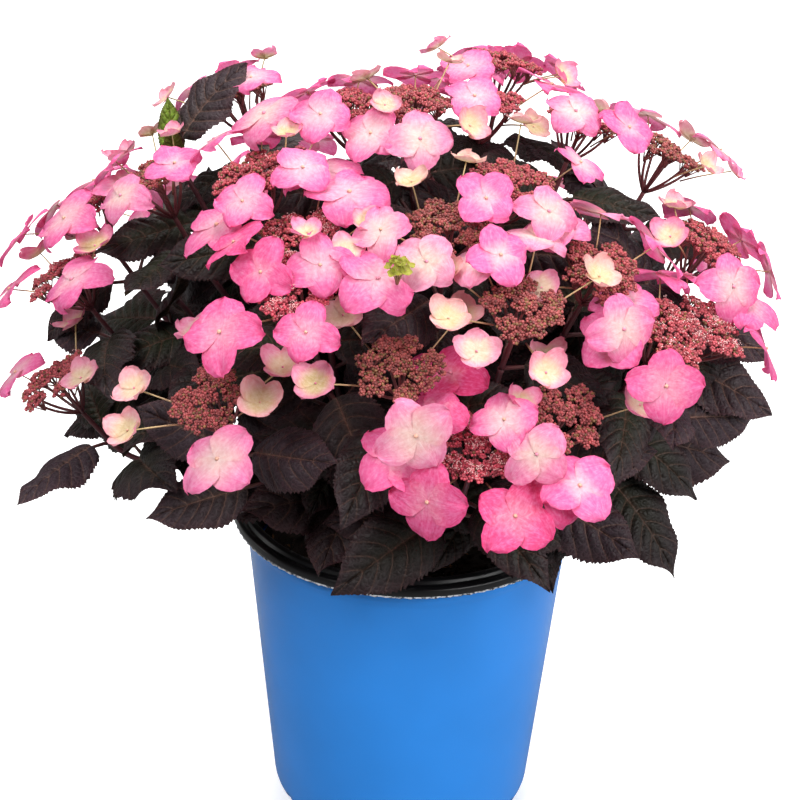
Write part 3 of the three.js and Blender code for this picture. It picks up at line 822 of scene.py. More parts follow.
def head_rings(place, axis, e1):
    """The coarse form of a flower head: its rays as a cone, and a cushion of six lobes for its buds."""
    lobed = np.array([1, HEAD["notch"]] * 3)[:, None]
    brim, top = place - axis, place + axis * HEAD["depth"] * 0.3
    return [
        ring(place - axis * HEAD["rays"], axis, e1, SHOOT["tip"], 3),
        ring(place - axis * HEAD["depth"] * 0.4, axis, e1, 9, 3),
        brim + (ring(brim, axis, e1, HEAD["radius"], 6) - brim) * lobed,
        top + (ring(top, axis, e1, HEAD["radius"] * 0.66, 6) - top) * lobed,
        (place + axis * HEAD["depth"] * 0.55)[None],
    ]


for name, line in CANE_LINES.items():
    radii = np.linspace(CANE["foot"], CANE["tip"], 5)
    stand("cane_" + name, None, limb_rings(*curve(line, np.linspace(0, 1, 5)), radii, 5))
for one in SHOOTS:
    radii = np.linspace(one["foot"], SHOOT["tip"], 4)
    rings = limb_rings(*curve(one["line"], np.linspace(0, 1, 4)), radii, 3)
    if one["colour"] is not None:
        rings += head_rings(one["place"], one["axis"], rings[-1][0] - one["line"][3])
    stand(one["cane"], STEM, rings)

# ----------------------------------------------------------------------------------------------
# Sterile florets. Round each head stand large flat florets of four broad sepals, each sepal rounded,
# finely scalloped and overlapping the next, thin as paper, pink at the rim and paler or cream at the
# middle. Each hangs on a thread-like stalk. Some are half open, smaller and still cream.

FLORET = {"radius": 18.5, "half_open": 0.55, "ring": 42.0, "root": 16.0, "thick": 1.7, "droop": 0.1}
NOTCH = 0.8
SEPAL_ROWS, SEPAL_COLUMNS = 13, 11
SEPAL_PHI = np.linspace(0.62, np.pi, SEPAL_ROWS)[:, None]
SEPAL_LENGTH = 0.455 - 0.545 * np.cos(SEPAL_PHI)
SEPAL_WIDTH = np.linspace(-1, 1, SEPAL_COLUMNS)[None, :]


def floret_at(head, bearing, is_open, keys, more=False):
    """Where a floret stands: its middle, the way that it faces, its radius, its turn, its root and
    its coarse rings for the test of room. keys ends with the number of the try."""
    place, axis = head["place"], head["axis"]
    out = square_to(axis, bearing + (between(-16, 16, *keys, 2) if keys[-1] else 0))
    reach = FLORET["ring"] * between(0.94, 1.18, *keys, 3) * (between(0.6, 0.95, *keys, 9) if more else 1)
    middle = place + out * reach + axis * (between(-4, 14, *keys, 4) + (6 if more else 0))
    tilt = math.radians(between(4, 50, *keys, 5) * (0.6 if more else 1))
    normal = axis * math.cos(tilt) + out * math.sin(tilt)
    radius = FLORET["radius"] * between(0.82, 1.18, *keys, 6) * (1 if is_open else FLORET["half_open"])
    turn = between(0, math.pi / 2, *keys, 7)
    sideways = np.cross(axis, out)
    brim = middle - normal * radius * FLORET["droop"]
    outline = ring(brim, normal, sideways, radius, 8, turn)
    outline[1::2] = brim + (outline[1::2] - brim) * NOTCH
    root = place + out * FLORET["root"]
    way = unit(middle - root)
    rings = [
        ring(root, way, sideways, 0.8, 3),
        ring(middle - normal * FLORET["thick"], normal, sideways, 1.28, 3),
        outline,
        middle[None],
    ]
    place = dict(middle=middle, normal=normal, sideways=sideways, radius=radius, turn=turn, root=root)
    return dict(place, axis=axis, rings=rings, is_open=is_open, keys=keys[:3], colour=head["colour"])


def take_place(owner, joint, ways):
    """The first of several ways to stand that has room, which then stands, or None."""
    for way in ways:
        if is_clear(way["rings"], owner, joint):
            stand(owner, joint, way["rings"])
            return way
    return None


FLORETS = []
for head in HEADS:
    for i, bearing in enumerate(head["opened"] + head["half_open"]):
        keys = (*head["keys"], i)
        is_open = i < len(head["opened"])
        ways = (floret_at(head, bearing, is_open, (*keys, attempt)) for attempt in range(TRIES))
        FLORETS.append(take_place(head["cane"], ("floret", *keys), ways))
FLORETS = [f for f in FLORETS if f]


def open_floret(f):
    """The 4 sepals of one floret as grids of (length, width a). A sepal's outline is a circle that
    starts at the floret's middle, wavy and finely scalloped. Its height is a cup that turns down at
    the rim, plus a soft wave. Each lies with one side over its neighbour and one side under."""
    keys, half_open = f["keys"], not f["is_open"]
    cup = between(0.2, 0.55, *keys, 23) if half_open else between(-0.15, 0.22, *keys, 23)
    radius = f["radius"] * (1.22 - 0.3 * cup if half_open else 1.14)
    phi, a = SEPAL_PHI, SEPAL_WIDTH
    first = unit(f["sideways"] - f["normal"] * np.dot(f["sideways"], f["normal"]))
    second = np.cross(f["normal"], first)
    grids = []
    for k in range(4):
        roll = [between(-1, 1, *keys, 30 + k, n) for n in range(7)]
        size = 1 + 0.1 * roll[1]
        wavy = 0.04 * np.sin(2.6 * phi * np.sign(a) + 4 * roll[4])
        edge = 1 + (wavy + 0.016 * np.sin(17 * phi + roll[2])) * a**2
        out = size * (0.455 - 0.565 * np.cos(phi) * edge)
        t = np.clip(out, 0, 1)
        beside = ((0.62 if half_open else 0.52) + 0.06 * roll[0]) * np.sin(phi) * a * edge
        beside = beside * np.clip(out / 0.3, 0, 1) ** 0.4
        height = cup * out**2 - (0 if half_open else 0.16) * out**4
        height = height + (0.05 * (-1) ** k + 0.07 * a) * t
        height = height + 0.055 * np.sin(3.2 * a + 4 * roll[5]) * t**2
        height = height + 0.03 * np.sin(7 * a + 5 * roll[6]) * t**3
        height = height + (0.3 if half_open else -0.06) * a**2 * t * (1 - 0.6 * t)
        b = f["turn"] + k * math.pi / 2 + 0.09 * roll[3]
        along = first * math.cos(b) + second * math.sin(b)
        side = np.cross(f["normal"], along)
        grids.append(
            f["middle"]
            + radius * (out[..., None] * along + beside[..., None] * side + height[..., None] * f["normal"])
        )
    return np.stack(grids)


DEEP_PINK = np.array([0.78, 0.055, 0.21])
PINK = np.array([0.92, 0.20, 0.45])
PALE_PINK = np.array([0.90, 0.50, 0.62])
BLUSH = np.array([0.88, 0.62, 0.63])
CREAM = np.array([0.84, 0.64, 0.49])
GREEN_CREAM = np.array([0.72, 0.60, 0.33])
LIME = np.array([0.40, 0.40, 0.06])


def sepal_tints(f):
    """Sepal colours on a sepal's grid: cream or pale pink at the middle, going over to the head's own
    pink towards the rim by a smooth step of the length, with a paler midline. A head that has only
    begun to open, told by a colour below 0, is lime green."""
    if f["colour"] < 0:
        return np.broadcast_to(LIME * between(0.8, 1.2, *f["keys"], 40), (SEPAL_ROWS, SEPAL_COLUMNS, 3))
    keys, colour = f["keys"], f["colour"] + between(-0.22, 0.22, *f["keys"], 40)
    t, a = SEPAL_LENGTH[..., None], np.abs(SEPAL_WIDTH)[..., None]
    blend = lambda x, y, s: x + (y - x) * s
    if not f["is_open"]:
        pinker = np.clip(colour + between(-0.2, 0.7, *keys, 44), 0, 1)
        rim = blend(CREAM, blend(PALE_PINK, PINK, 0.55), pinker)
        heart = blend(GREEN_CREAM, CREAM, between(0, 1, *keys, 41))
        step = np.clip((t - 0.35) / 0.55 + 0.25 * a, 0, 1)
    else:
        rim = blend(PALE_PINK, PINK, np.clip(colour * 2.2, 0, 1))
        rim = blend(rim, DEEP_PINK, np.clip(colour * 2.0 - 1.25, 0, 1) * 0.85)
        heart = blend(CREAM, BLUSH, np.clip(colour * 2, 0, 1))
        heart = blend(heart, rim, np.clip(colour * 1.5 - 0.6, 0, 0.7))
        reach = between(0.5, 0.95, *keys, 42) * (1.2 - 0.5 * colour)
        step = np.clip((t - 0.05) / max(reach, 0.2), 0, 1)
    step = step * step * (3 - 2 * step)
    tint = blend(heart, rim, np.clip(step + 0.12 * a * t, 0, 1))
    edge = np.maximum(np.clip(t, 0, 1) ** 8, a**6 * np.clip(t * 1.6, 0, 1))
    tint = blend(tint, blend(rim, DEEP_PINK, 0.5 * (0.4 + colour)), 0.75 * edge)
    return np.broadcast_to(tint * between(0.92, 1.04, *keys, 43), (SEPAL_ROWS, SEPAL_COLUMNS, 3))


def petal_skin():
    """Thin matte sepals that let some light through: their own colour, paler and deeper by turns in fine
    rays that fan out from the foot, which the UV map gives as width and length, with specks and a faint
    relief of veins."""
    material, nodes, shader = finish("sepal", 0.55, Specular_IOR_Level=0.25)
    tint = node(nodes, "Attribute", attribute_name="Tint")
    uv = node(nodes, "UVMap", uv_map="UVMap")
    fan = node(nodes, "Mapping", Scale=(24.0, 3.0, 1.0))
    rays = node(nodes, "TexNoise", Scale=1.0, Detail=4.0, Roughness=0.65, Distortion=0.4)
    mottle = grain(nodes, 450.0, 2.0)
    both = node(nodes, "Math", operation="ADD")
    depth = node(nodes, "MapRange", From_Min=0.72, From_Max=1.28, To_Min=1.3, To_Max=0.75)
    mixed = node(nodes, "Gamma")
    bump = node(nodes, "Bump", Strength=0.4, Distance=0.0008)
    through = node(nodes, "BsdfTranslucent")
    thin = node(nodes, "MixShader", Fac=0.32)
    chain(uv, "UV", "Vector", fan, "Vector", "Vector", rays, "Fac", 0, both, "Value", "Value", depth)
    chain(depth, "Result", "Gamma", mixed, "Color", "Base Color", shader)
    chain(tint, "Color", "Color", mixed)
    chain(mottle, "Grain", 1, both, "Value", "Height", bump, "Normal", "Normal", shader)
    chain(mixed, "Color", "Color", through, "BSDF", 2, thin, "Shader", "Surface", nodes["Material Output"])
    chain(shader, "BSDF", 1, thin)
    return material


def make_florets():
    """All sepals as one mesh."""
    grids, tints, uvs = [], [], []
    t, a = SEPAL_LENGTH, SEPAL_WIDTH
    for n, f in enumerate(FLORETS):
        sepals = open_floret(f)
        grids.append(sepals)
        tints.append(np.broadcast_to(sepal_tints(f), sepals.shape))
        own = np.arange(4)[:, None, None] * 3.1 + n * 7.7
        uvs.append(np.stack([a * (0.15 + 0.5 * t) + own, t + 0 * a + own * 0.37], axis=-1))
    points, tints, uvs = (np.concatenate(v) for v in (grids, tints, uvs))
    sepals = surface("sepals", points * MM, OPEN_GRID, False, uvs, tints, flip=True)
    sepals.data.materials.append(petal_skin())
    return sepals


def button_grids(places, axes, radii, rows=5, sides=7, flat=0.8):
    """Small round buds: a sphere of rows by sides about each place, flattened along its axis."""
    phi = np.linspace(0, np.pi, rows)[:, None]
    theta = np.linspace(0, 2 * np.pi, sides, endpoint=False)[None, :]
    first = np.cross(axes, np.array([0.31, 0.77, 0.55]))
    first /= np.linalg.norm(first, axis=1, keepdims=True)
    second = np.cross(axes, first)
    x, y, z = np.sin(phi) * np.cos(theta), np.sin(phi) * np.sin(theta), np.cos(phi) + 0 * theta
    spread = lambda v: v[:, None, None, :]
    points = x[None, ..., None] * spread(first) + y[None, ..., None] * spread(second)
    points = points + z[None, ..., None] * spread(axes) * flat
    return spread(places) + points * radii[:, None, None, None]


def thread_stalks(name, roots, ends, sag, radius, low, high, rng):
    """Thread-like stalks from roots to ends, each a curve that first keeps to the head's axis."""
    t = np.linspace(0, 1, 8)[None, :, None]
    bend = (roots + ends) / 2 + sag
    paths = (1 - t) ** 2 * roots[:, None] + 2 * t * (1 - t) * bend[:, None] + t**2 * ends[:, None]
    radii = np.tile(radius * (1.15 - 0.3 * t[..., 0]), (len(paths), 1))
    tint = stem_tints(len(paths), 8, 6, low, high, rng)
    made = surface(name, tubes(paths, radii, 6) * MM, tint=tint)
    made.data.materials.append(BURGUNDY_SKIN)
    return made


# ----------------------------------------------------------------------------------------------
# Leaves. Broad pointed leaves in opposite pairs, near-black burgundy with a soft sheen, green at the
# heart of some, with sunken tan veins that arch forward, the blade puffed up between them, and a
# saw-toothed edge. Each stands on a short thick stalk and droops at the tip.

LEAF_LENGTHS = [90.0, 82.0, 62.0]
LEAF = {"width": 0.3, "stalk": 15.0, "thick": 1.6, "droop": 0.22}
SUN = np.array([0.0, -1.0, 0.0])
MORE_PAIRS = [(0.18, 70.0), (0.5, 66.0), (0.84, 50.0)]
MORE_FLORETS = 2
BARE_BEYOND = 125.0
LEAF_VEINS = 8
LEAVES_TO_A_PIECE = 140
FIELD_ROWS = np.array([0, 0.07, 0.22, 0.41, 0.59, 0.78, 0.93])
LEAF_COLUMNS = np.array([-1, -0.94, -0.7, -0.42, -0.16, -0.035, 0, 0.035, 0.16, 0.42, 0.7, 0.94, 1])


def leaf_at(root, tangent, a, length, keys):
    """Where a leaf stands: the foot of its blade, the ways along, across and off it, its length and
    droop, and its coarse rings for the test of room."""
    e1, e2 = across(tangent)
    side = e1 * math.cos(a) + e2 * math.sin(a)
    outward = unit([root[0], root[1], 0])
    stalk_way = unit(side * 0.8 + tangent * 0.6)
    foot = root + stalk_way * LEAF["stalk"]
    way = unit(side + UP * between(-0.1, 0.4, *keys, 1) + outward * 0.25)
    facing = UP + outward * 0.6 + SUN * 0.6
    normal = unit(facing - way * np.dot(facing, way))
    right = np.cross(normal, way)
    droop = LEAF["droop"] * between(0.5, 1.3, *keys, 2)

    def at(s, half, depth):
        p = foot + way * length * s - normal * length * droop * s * s
        return np.stack([p + right * half, p - right * half, p - normal * depth])

    half = length * LEAF["width"]
    rings = [
        ring(root, stalk_way, right, 1.3, 3, math.pi / 6),
        at(0, 1.3, 1.3),
        at(0.42, half, LEAF["thick"]),
        (foot + way * length - normal * length * droop)[None],
    ]
    place = dict(root=root, foot=foot, way=way, normal=normal, right=right, stalk_way=stalk_way)
    return dict(place, length=length, droop=droop, rings=rings, keys=keys)


def pair_at(shoot, share, full, turn, k):
    """The two leaves of a pair, each as its key and the ways that it may stand. turn is counted from
    the shoot's last pair."""
    m, s = shoot["keys"]
    tip_way = curve(shoot["line"], 1.0)[1][0]
    e1, e2 = across(tip_way)
    side = square_to(tip_way, shoot["pair"])
    roll = math.atan2(np.dot(side, e2), np.dot(side, e1)) + turn
    point, tangent = (v[0] for v in curve(shoot["line"], share))

    def way_to_stand(half, attempt):
        swing = between(-1.2, 1.2, m, s, k, half, attempt) if attempt else 0
        length = full * between(0.85, 1.15, m, s, k, half) * (1 - 0.06 * attempt)
        return leaf_at(point, tangent, roll + half * math.pi + swing, length, (m, s, k, half, attempt))

    for half in (0, 1):
        ways = (way_to_stand(half, attempt) for attempt in range(TRIES))
        found = take_place(shoot["cane"], (m, s, k), ways)
        if found:
            LEAVES.append(found)


LEAVES = []
for shoot in SHOOTS:
    for j in (0, 1, 2) if shoot["colour"] is None else (1, 2):
        pair_at(shoot, (j + 1) / 3, LEAF_LENGTHS[j], (j - 2) * math.pi / 2, j)
for shoot in SHOOTS:
    if shoot["colour"] is not None:
        pair_at(shoot, 1 / 3, LEAF_LENGTHS[0], -math.pi, 0)
    for k, (share, full) in enumerate(MORE_PAIRS):
        if math.hypot(*curve(shoot["line"], share)[0][0][:2]) < BARE_BEYOND:
            pair_at(shoot, share, full, (k + 0.5) * math.pi / 2, 5 + k)
for head in HEADS:
    for i in range(MORE_FLORETS):
        taken = np.sort(head["opened"] + head["half_open"])
        gaps = np.diff(np.append(taken, taken[0] + 360))
        widest = gaps.argsort()[-1 - i]
        bearing = (taken[widest] + gaps[widest] / 2) % 360
        if not 15 < bearing < 165:
            continue
        keys = (*head["keys"], 60 + i)
        is_open = dice(*keys, 77) < 0.4
        ways = (floret_at(head, bearing, is_open, (*keys, attempt), True) for attempt in range(TRIES))
        found = take_place(head["cane"], ("floret", *keys), ways)
        if found:
            FLORETS.append(found)


YOUNG = 99


def young_leaf(shoot, bearing, rise, k):
    """A small leaf that still stands up at the tip of a leafy shoot, its upper side turned inwards."""
    foot = shoot["place"] + shoot["axis"] * 2
    out = np.array([math.cos(math.radians(bearing)), math.sin(math.radians(bearing)), 0])
    way = unit(out + UP * rise)
    normal = unit(UP - out * rise)
    root, right = foot - shoot["axis"] * 3, np.cross(normal, way)
    place = dict(root=root, foot=foot, way=way, normal=normal, right=right, stalk_way=way)
    return dict(place, length=38.0 - 8 * k, droop=0.05, keys=(*shoot["keys"], YOUNG, k, 0))


# Only the shoot that stands highest at the left still has its youngest pair, bright green, unfolded.
for shoot in SHOOTS:
    if shoot["cane"] == "left_high" and shoot["colour"] is None:
        LEAVES += [young_leaf(shoot, 100, 2.6, 0), young_leaf(shoot, 280, 1.6, 1)]


def leaf_outline(s):
    """The half width at a share s of the length, s to the power 0.5 times 1 - s to the power 0.85: round
    at the foot, widest two fifths of the way up, and pinched in over the last fifth to a fine tip."""
    s = np.clip(s, 0, 1)
    pinch = np.clip((s - 0.78) / 0.22, 0, 1)
    return s**0.5 * (1 - s) ** 0.85 / 0.411 * (1 - 0.4 * pinch * pinch * (3 - 2 * pinch))


def leaf_grid(leaf):
    """One blade as a grid. Row r starts on the midrib and sweeps forward as a side vein does. The
    height is the fold along the midrib, the puffed fields between veins, a wavy edge and the droop."""
    keys, length = leaf["keys"], leaf["length"]
    roll = [between(-1, 1, *keys, 50 + n) for n in range(8)]
    field = np.append((np.arange(LEAF_VEINS)[:, None] + FIELD_ROWS).ravel(), LEAF_VEINS)[:, None]
    s0 = (field / LEAF_VEINS) ** 1.12
    s1 = np.clip(s0 + 0.05 + 0.17 * np.sin(np.pi * s0**0.8), 0, 1)
    s1[-1] = 1
    u = np.abs(LEAF_COLUMNS)[None, :]
    sign = np.sign(LEAF_COLUMNS)[None, :]
    s = s0 + (s1 - s0) * u**1.5
    toothed = np.where(u > 0.99, 1 + 0.075 * (np.arange(len(field))[:, None] % 2 - 0.4), 1)
    narrow = 0.75 if keys[2] == YOUNG else 1
    half = LEAF["width"] * length * narrow * (1 + 0.07 * roll[0]) * leaf_outline(s1)
    x = sign * half * u * toothed
    in_field = field % 1
    valley = np.minimum(in_field, 1 - in_field)
    puff = 1 - np.exp(-((valley / 0.17) ** 2))
    puff = puff * np.sin(np.pi * u**0.8) ** 0.6 * np.sin(np.pi * s0**0.7) ** 0.6 * 0.03 * length
    ridge = 0.014 * length * (1 - np.exp(-((u / 0.08) ** 2)))
    fold = (0.16 + 0.12 * roll[1]) * np.abs(x) - (0.36 + 0.14 * roll[2]) * x * x / (half.max() + 1e-9)
    wave = 0.035 * length * np.sin(2 * np.pi * (2.2 + 0.6 * roll[3]) * s + 3 * roll[4] + sign) * u**2.2
    twist = x * 0.35 * roll[5] * s
    bend = -length * (leaf["droop"] * s**2 + 0.10 * roll[6] * s**3)
    height = puff + ridge + fold + wave + twist + bend
    side = x + 0.05 * length * roll[7] * s**2
    grid = (
        leaf["foot"]
        + leaf["way"] * (length * s)[..., None]
        + leaf["right"] * side[..., None]
        + leaf["normal"] * height[..., None]
    )
    return grid, in_field, u, s


BURGUNDY = np.array([0.005, 0.002, 0.003])
BROWN = np.array([0.013, 0.0055, 0.004])
PAINTED_LIT_SLATE = np.array([0.024, 0.015, 0.019])
DARK_GREEN = np.array([0.016, 0.025, 0.009])
YOUNG_GREEN = np.array([0.085, 0.13, 0.012])
VEIN_TAN = np.array([0.13, 0.07, 0.05])
EDGE_RED = np.array([0.045, 0.016, 0.018])


def leaf_tint(leaf, in_field, u, s):
    """Leaf colours on the grid: a burgundy or brown of the leaf's own, green at the heart of some, a redder
    edge, and tan veins: the side veins at the rows between fields and the midrib. Leaves further from the
    pot's axis are painted lighter, greyer slate, with greener hearts and plainer veins, as painted light;
    those near the middle stay near-black, as painted shade."""
    keys = leaf["keys"]
    low = max(0.0, 1 - (leaf["foot"][2] - SOIL_TOP / MM) / 120)
    # Painted light and shade: the further a leaf stands from the pot's axis, the lighter and greyer it is
    # painted, as if lit; near the middle it stays near-black.
    painted_light = np.clip((math.hypot(*leaf["foot"][:2]) - 70) / 110, 0, 1)
    base = BURGUNDY + (BROWN - BURGUNDY) * between(0, 1, *keys, 70) * (0.35 + 0.65 * low)
    base = base + (PAINTED_LIT_SLATE - base) * painted_light
    green = np.clip(between(-0.4, 1.4, *keys, 71), 0, 1)
    young = keys[2] == YOUNG
    heart = YOUNG_GREEN if young else DARK_GREEN
    green = 1.0 if young else green
    # Green hearts show more on the outer leaves: painted light.
    near = np.exp(-((u / 0.8) ** 2)) * np.clip(1.25 - s, 0, 1) * (0.4 + 0.6 * painted_light)
    tint = base + (heart - base) * np.clip(green * (1.0 if young else near), 0, 1)[..., None]
    vein = np.exp(-((np.minimum(in_field, 1 - in_field) / 0.05) ** 2)) * (1 - 0.5 * u)
    midrib = np.exp(-((u / 0.03) ** 2)) * (1 - 0.5 * s)
    # Veins fainter on the inner leaves: painted shade.
    mask = np.clip(np.maximum(vein * 0.6, midrib), 0, 1)[..., None] * (0.45 + 0.55 * painted_light)
    tint = tint + (VEIN_TAN * (1.5 if young else 1.0) - tint) * mask
    tint = tint + (EDGE_RED - tint) * (0.7 * u**10)[..., None] * (1.0 if young else 0.6)
    return tint * between(0.55, 1.5, *keys, 72)


def leaf_skin():
    """Leathery blade, nearly matt: its own colour, a net of fine veinlets as paler lines and as relief,
    and a dull olive brown on the underside."""
    material, nodes, shader = finish("leaf", 0.5, Specular_IOR_Level=0.17)
    tint = node(nodes, "Attribute", attribute_name="Tint")
    place = node(nodes, "TexCoord")
    wobble = node(nodes, "TexNoise", Scale=240.0, Detail=2.0)
    strayed = node(nodes, "VectorMath", operation="MULTIPLY_ADD")
    strayed.inputs[1].default_value = (0.0022, 0.0022, 0.0022)
    net = node(nodes, "TexVoronoi", feature="DISTANCE_TO_EDGE", Scale=300.0)
    line = node(nodes, "MapRange", From_Max=0.1, To_Min=1.6, To_Max=1.0)
    netted = node(nodes, "VectorMath", operation="SCALE")
    wide = node(nodes, "MapRange", From_Max=0.35, To_Max=1.0)
    bump = node(nodes, "Bump", Strength=0.55, Distance=0.0008)
    dull = node(nodes, "VectorMath", operation="ADD")
    dull.inputs[1].default_value = (0.06, 0.042, 0.026)
    under = node(nodes, "Mix", data_type="RGBA")
    facing = node(nodes, "NewGeometry")
    rough = node(nodes, "MapRange", To_Min=0.4, To_Max=0.62)
    chain(place, "Object", "Vector", wobble, "Color", 0, strayed, "Vector", "Vector", net)
    chain(net, "Distance", "Value", line, "Result", "Scale", netted, "Vector", "A", under)
    chain(under, "Result", "Base Color", shader)
    chain(place, "Object", 2, strayed)
    chain(net, "Distance", "Value", wide, "Result", "Height", bump, "Normal", "Normal", shader)
    chain(tint, "Color", 0, netted)
    chain(tint, "Color", 0, dull, "Vector", "B", under)
    chain(facing, "Backfacing", "Factor", under)
    chain(grain(nodes, 70.0, 2.0), "Grain", "Value", rough, "Result", "Roughness", shader)
    return material


def make_leaves():
    """The blades in pieces of up to LEAVES_TO_A_PIECE, and their stalks as tubes from stem to blade."""
    skin_of_leaf = leaf_skin()
    for part, start in enumerate(range(0, len(LEAVES), LEAVES_TO_A_PIECE)):
        some = LEAVES[start : start + LEAVES_TO_A_PIECE]
        grids, tints = [], []
        for leaf in some:
            grid, in_field, u, s = leaf_grid(leaf)
            grids.append(grid)
            tints.append(leaf_tint(leaf, in_field, u, s))
        points, tints = np.stack(grids) * MM, np.stack(tints)
        piece = surface(f"leaves_{part + 1}", points, OPEN_GRID, tint=tints, flip=True)
        piece.data.materials.append(skin_of_leaf)
    roots = np.stack([leaf["root"] for leaf in LEAVES])
    ends = np.stack([leaf["foot"] + leaf["way"] * 4 for leaf in LEAVES])
    sag = np.stack([leaf["stalk_way"] for leaf in LEAVES]) * 1.5
    rng = np.random.default_rng(21)
    thread_stalks("leaf_stalks", roots, ends, sag, 1.25, (0.07, 0.013, 0.02), (0.10, 0.04, 0.03), rng)


def opening_head(place, axis, count, radius):
    """A head that has only begun to open: small lime-green florets over a low dome, spread by the
    golden angle, each on a thread from the stalk's end."""
    e1, e2 = across(axis)
    for k in range(count):
        out, a = radius * math.sqrt((k + 0.5) / count), k * 2.39996
        aside = e1 * math.cos(a) + e2 * math.sin(a)
        middle = place + aside * out + axis * (4 - 0.4 * out + 2 * dice(91, k))
        normal, size = unit(axis + aside * out / radius * 0.8), 2.0 + 1.3 * dice(92, k)
        floret = dict(middle=middle, normal=normal, sideways=e1, radius=size, turn=a, root=place)
        FLORETS.append(dict(floret, axis=axis, is_open=False, keys=(90, k, 0), colour=-1.0))


OPENING = np.array([-9.2, -182.0, 474.0])
opening_head(OPENING, unit([0, -0.4, 1]), 9, 6.5)

make_leaves()
make_florets()

roots = np.stack([f["root"] - f["axis"] * 12 for f in FLORETS])
ends = np.stack([f["middle"] - f["normal"] * 0.4 for f in FLORETS])
sag = np.stack([f["axis"] * 3 - f["normal"] * 2 for f in FLORETS])
thread_stalks("floret_stalks", roots, ends, sag, 0.5, (0.24, 0.07, 0.05), (0.55, 0.44, 0.20), STEM_RNG)

# ----------------------------------------------------------------------------------------------
# Fertile buds. The middle of each head is a flat cluster of small buds, in several domed bunches on
# rays that open like an umbrella from the top of the stalk. They are dusky red to brown; a few on the
# ripest heads have burst into white stamens.

BUNCHES = 8
BUDS_TO_A_BUNCH = 102
BUD_RED = np.array([0.40, 0.055, 0.08])
BUD_BROWN = np.array([0.23, 0.05, 0.045])
BUD_OLIVE = np.array([0.16, 0.075, 0.03])


def bunches_of(head):
    """The middles of a head's bunches: one at its middle and the rest round it, each a little off."""
    m, s = head["keys"]
    e1, e2 = across(head["axis"])
    found = [head["place"] + head["axis"] * 1.5]
    turn = between(0, 2 * math.pi, m, s, 90)
    for k in range(BUNCHES - 1):
        a = turn + (k + between(-0.2, 0.2, m, s, 91, k)) / (BUNCHES - 1) * 2 * math.pi
        out = between(14.5, 18.5, m, s, 92, k)
        up = between(-4.5, 0.5, m, s, 93, k)
        found.append(head["place"] + (e1 * math.cos(a) + e2 * math.sin(a)) * out + head["axis"] * up)
    return np.stack(found)


def dome_of_buds(middle, axis, radius, rng):
    """Buds over a low dome, in knobs of six: one raised in the middle and five round it. The golden
    angle turns each knob from the last, and its distance out grows by the square root of its number."""
    n = np.arange(BUDS_TO_A_BUNCH)
    knob, k = n // 6, n % 6
    knobs = knob[-1] + 1
    out = (radius - 1.5) * np.sqrt((knob + 0.5) / knobs) * rng.uniform(0.93, 1.07, knobs)[knob]
    a = knob * 2.39996 + rng.uniform(0, 6)
    b = k * 2 * np.pi / 5 + rng.uniform(0, 6, knobs)[knob]
    beside = np.where(k == 0, 0, 1.35) * rng.uniform(0.85, 1.15, len(n))
    x, y = out * np.cos(a) + beside * np.cos(b), out * np.sin(a) + beside * np.sin(b)
    up = 0.42 * radius * (1 - (out / radius) ** 2) + np.where(k == 0, 0.9, 0)
    up = up + rng.normal(0, 0.6, knobs)[knob]
    e1, e2 = across(axis)
    places = middle + np.outer(x, e1) + np.outer(y, e2) + np.outer(up, axis)
    ways = places - (middle - axis * radius * 1.1)
    return places, ways / np.linalg.norm(ways, axis=1, keepdims=True)


def bud_skin():
    """Small waxy buds in their own colour, with a grain like tiny folded petals."""
    material, nodes, shader = finish("bud", 0.5)
    folds = grain(nodes, 1500.0, 2.0, 0.4, 0.0005)
    chain(node(nodes, "Attribute", attribute_name="Tint"), "Color", "Base Color", shader)
    chain(folds, "Normal", "Normal", shader)
    return material


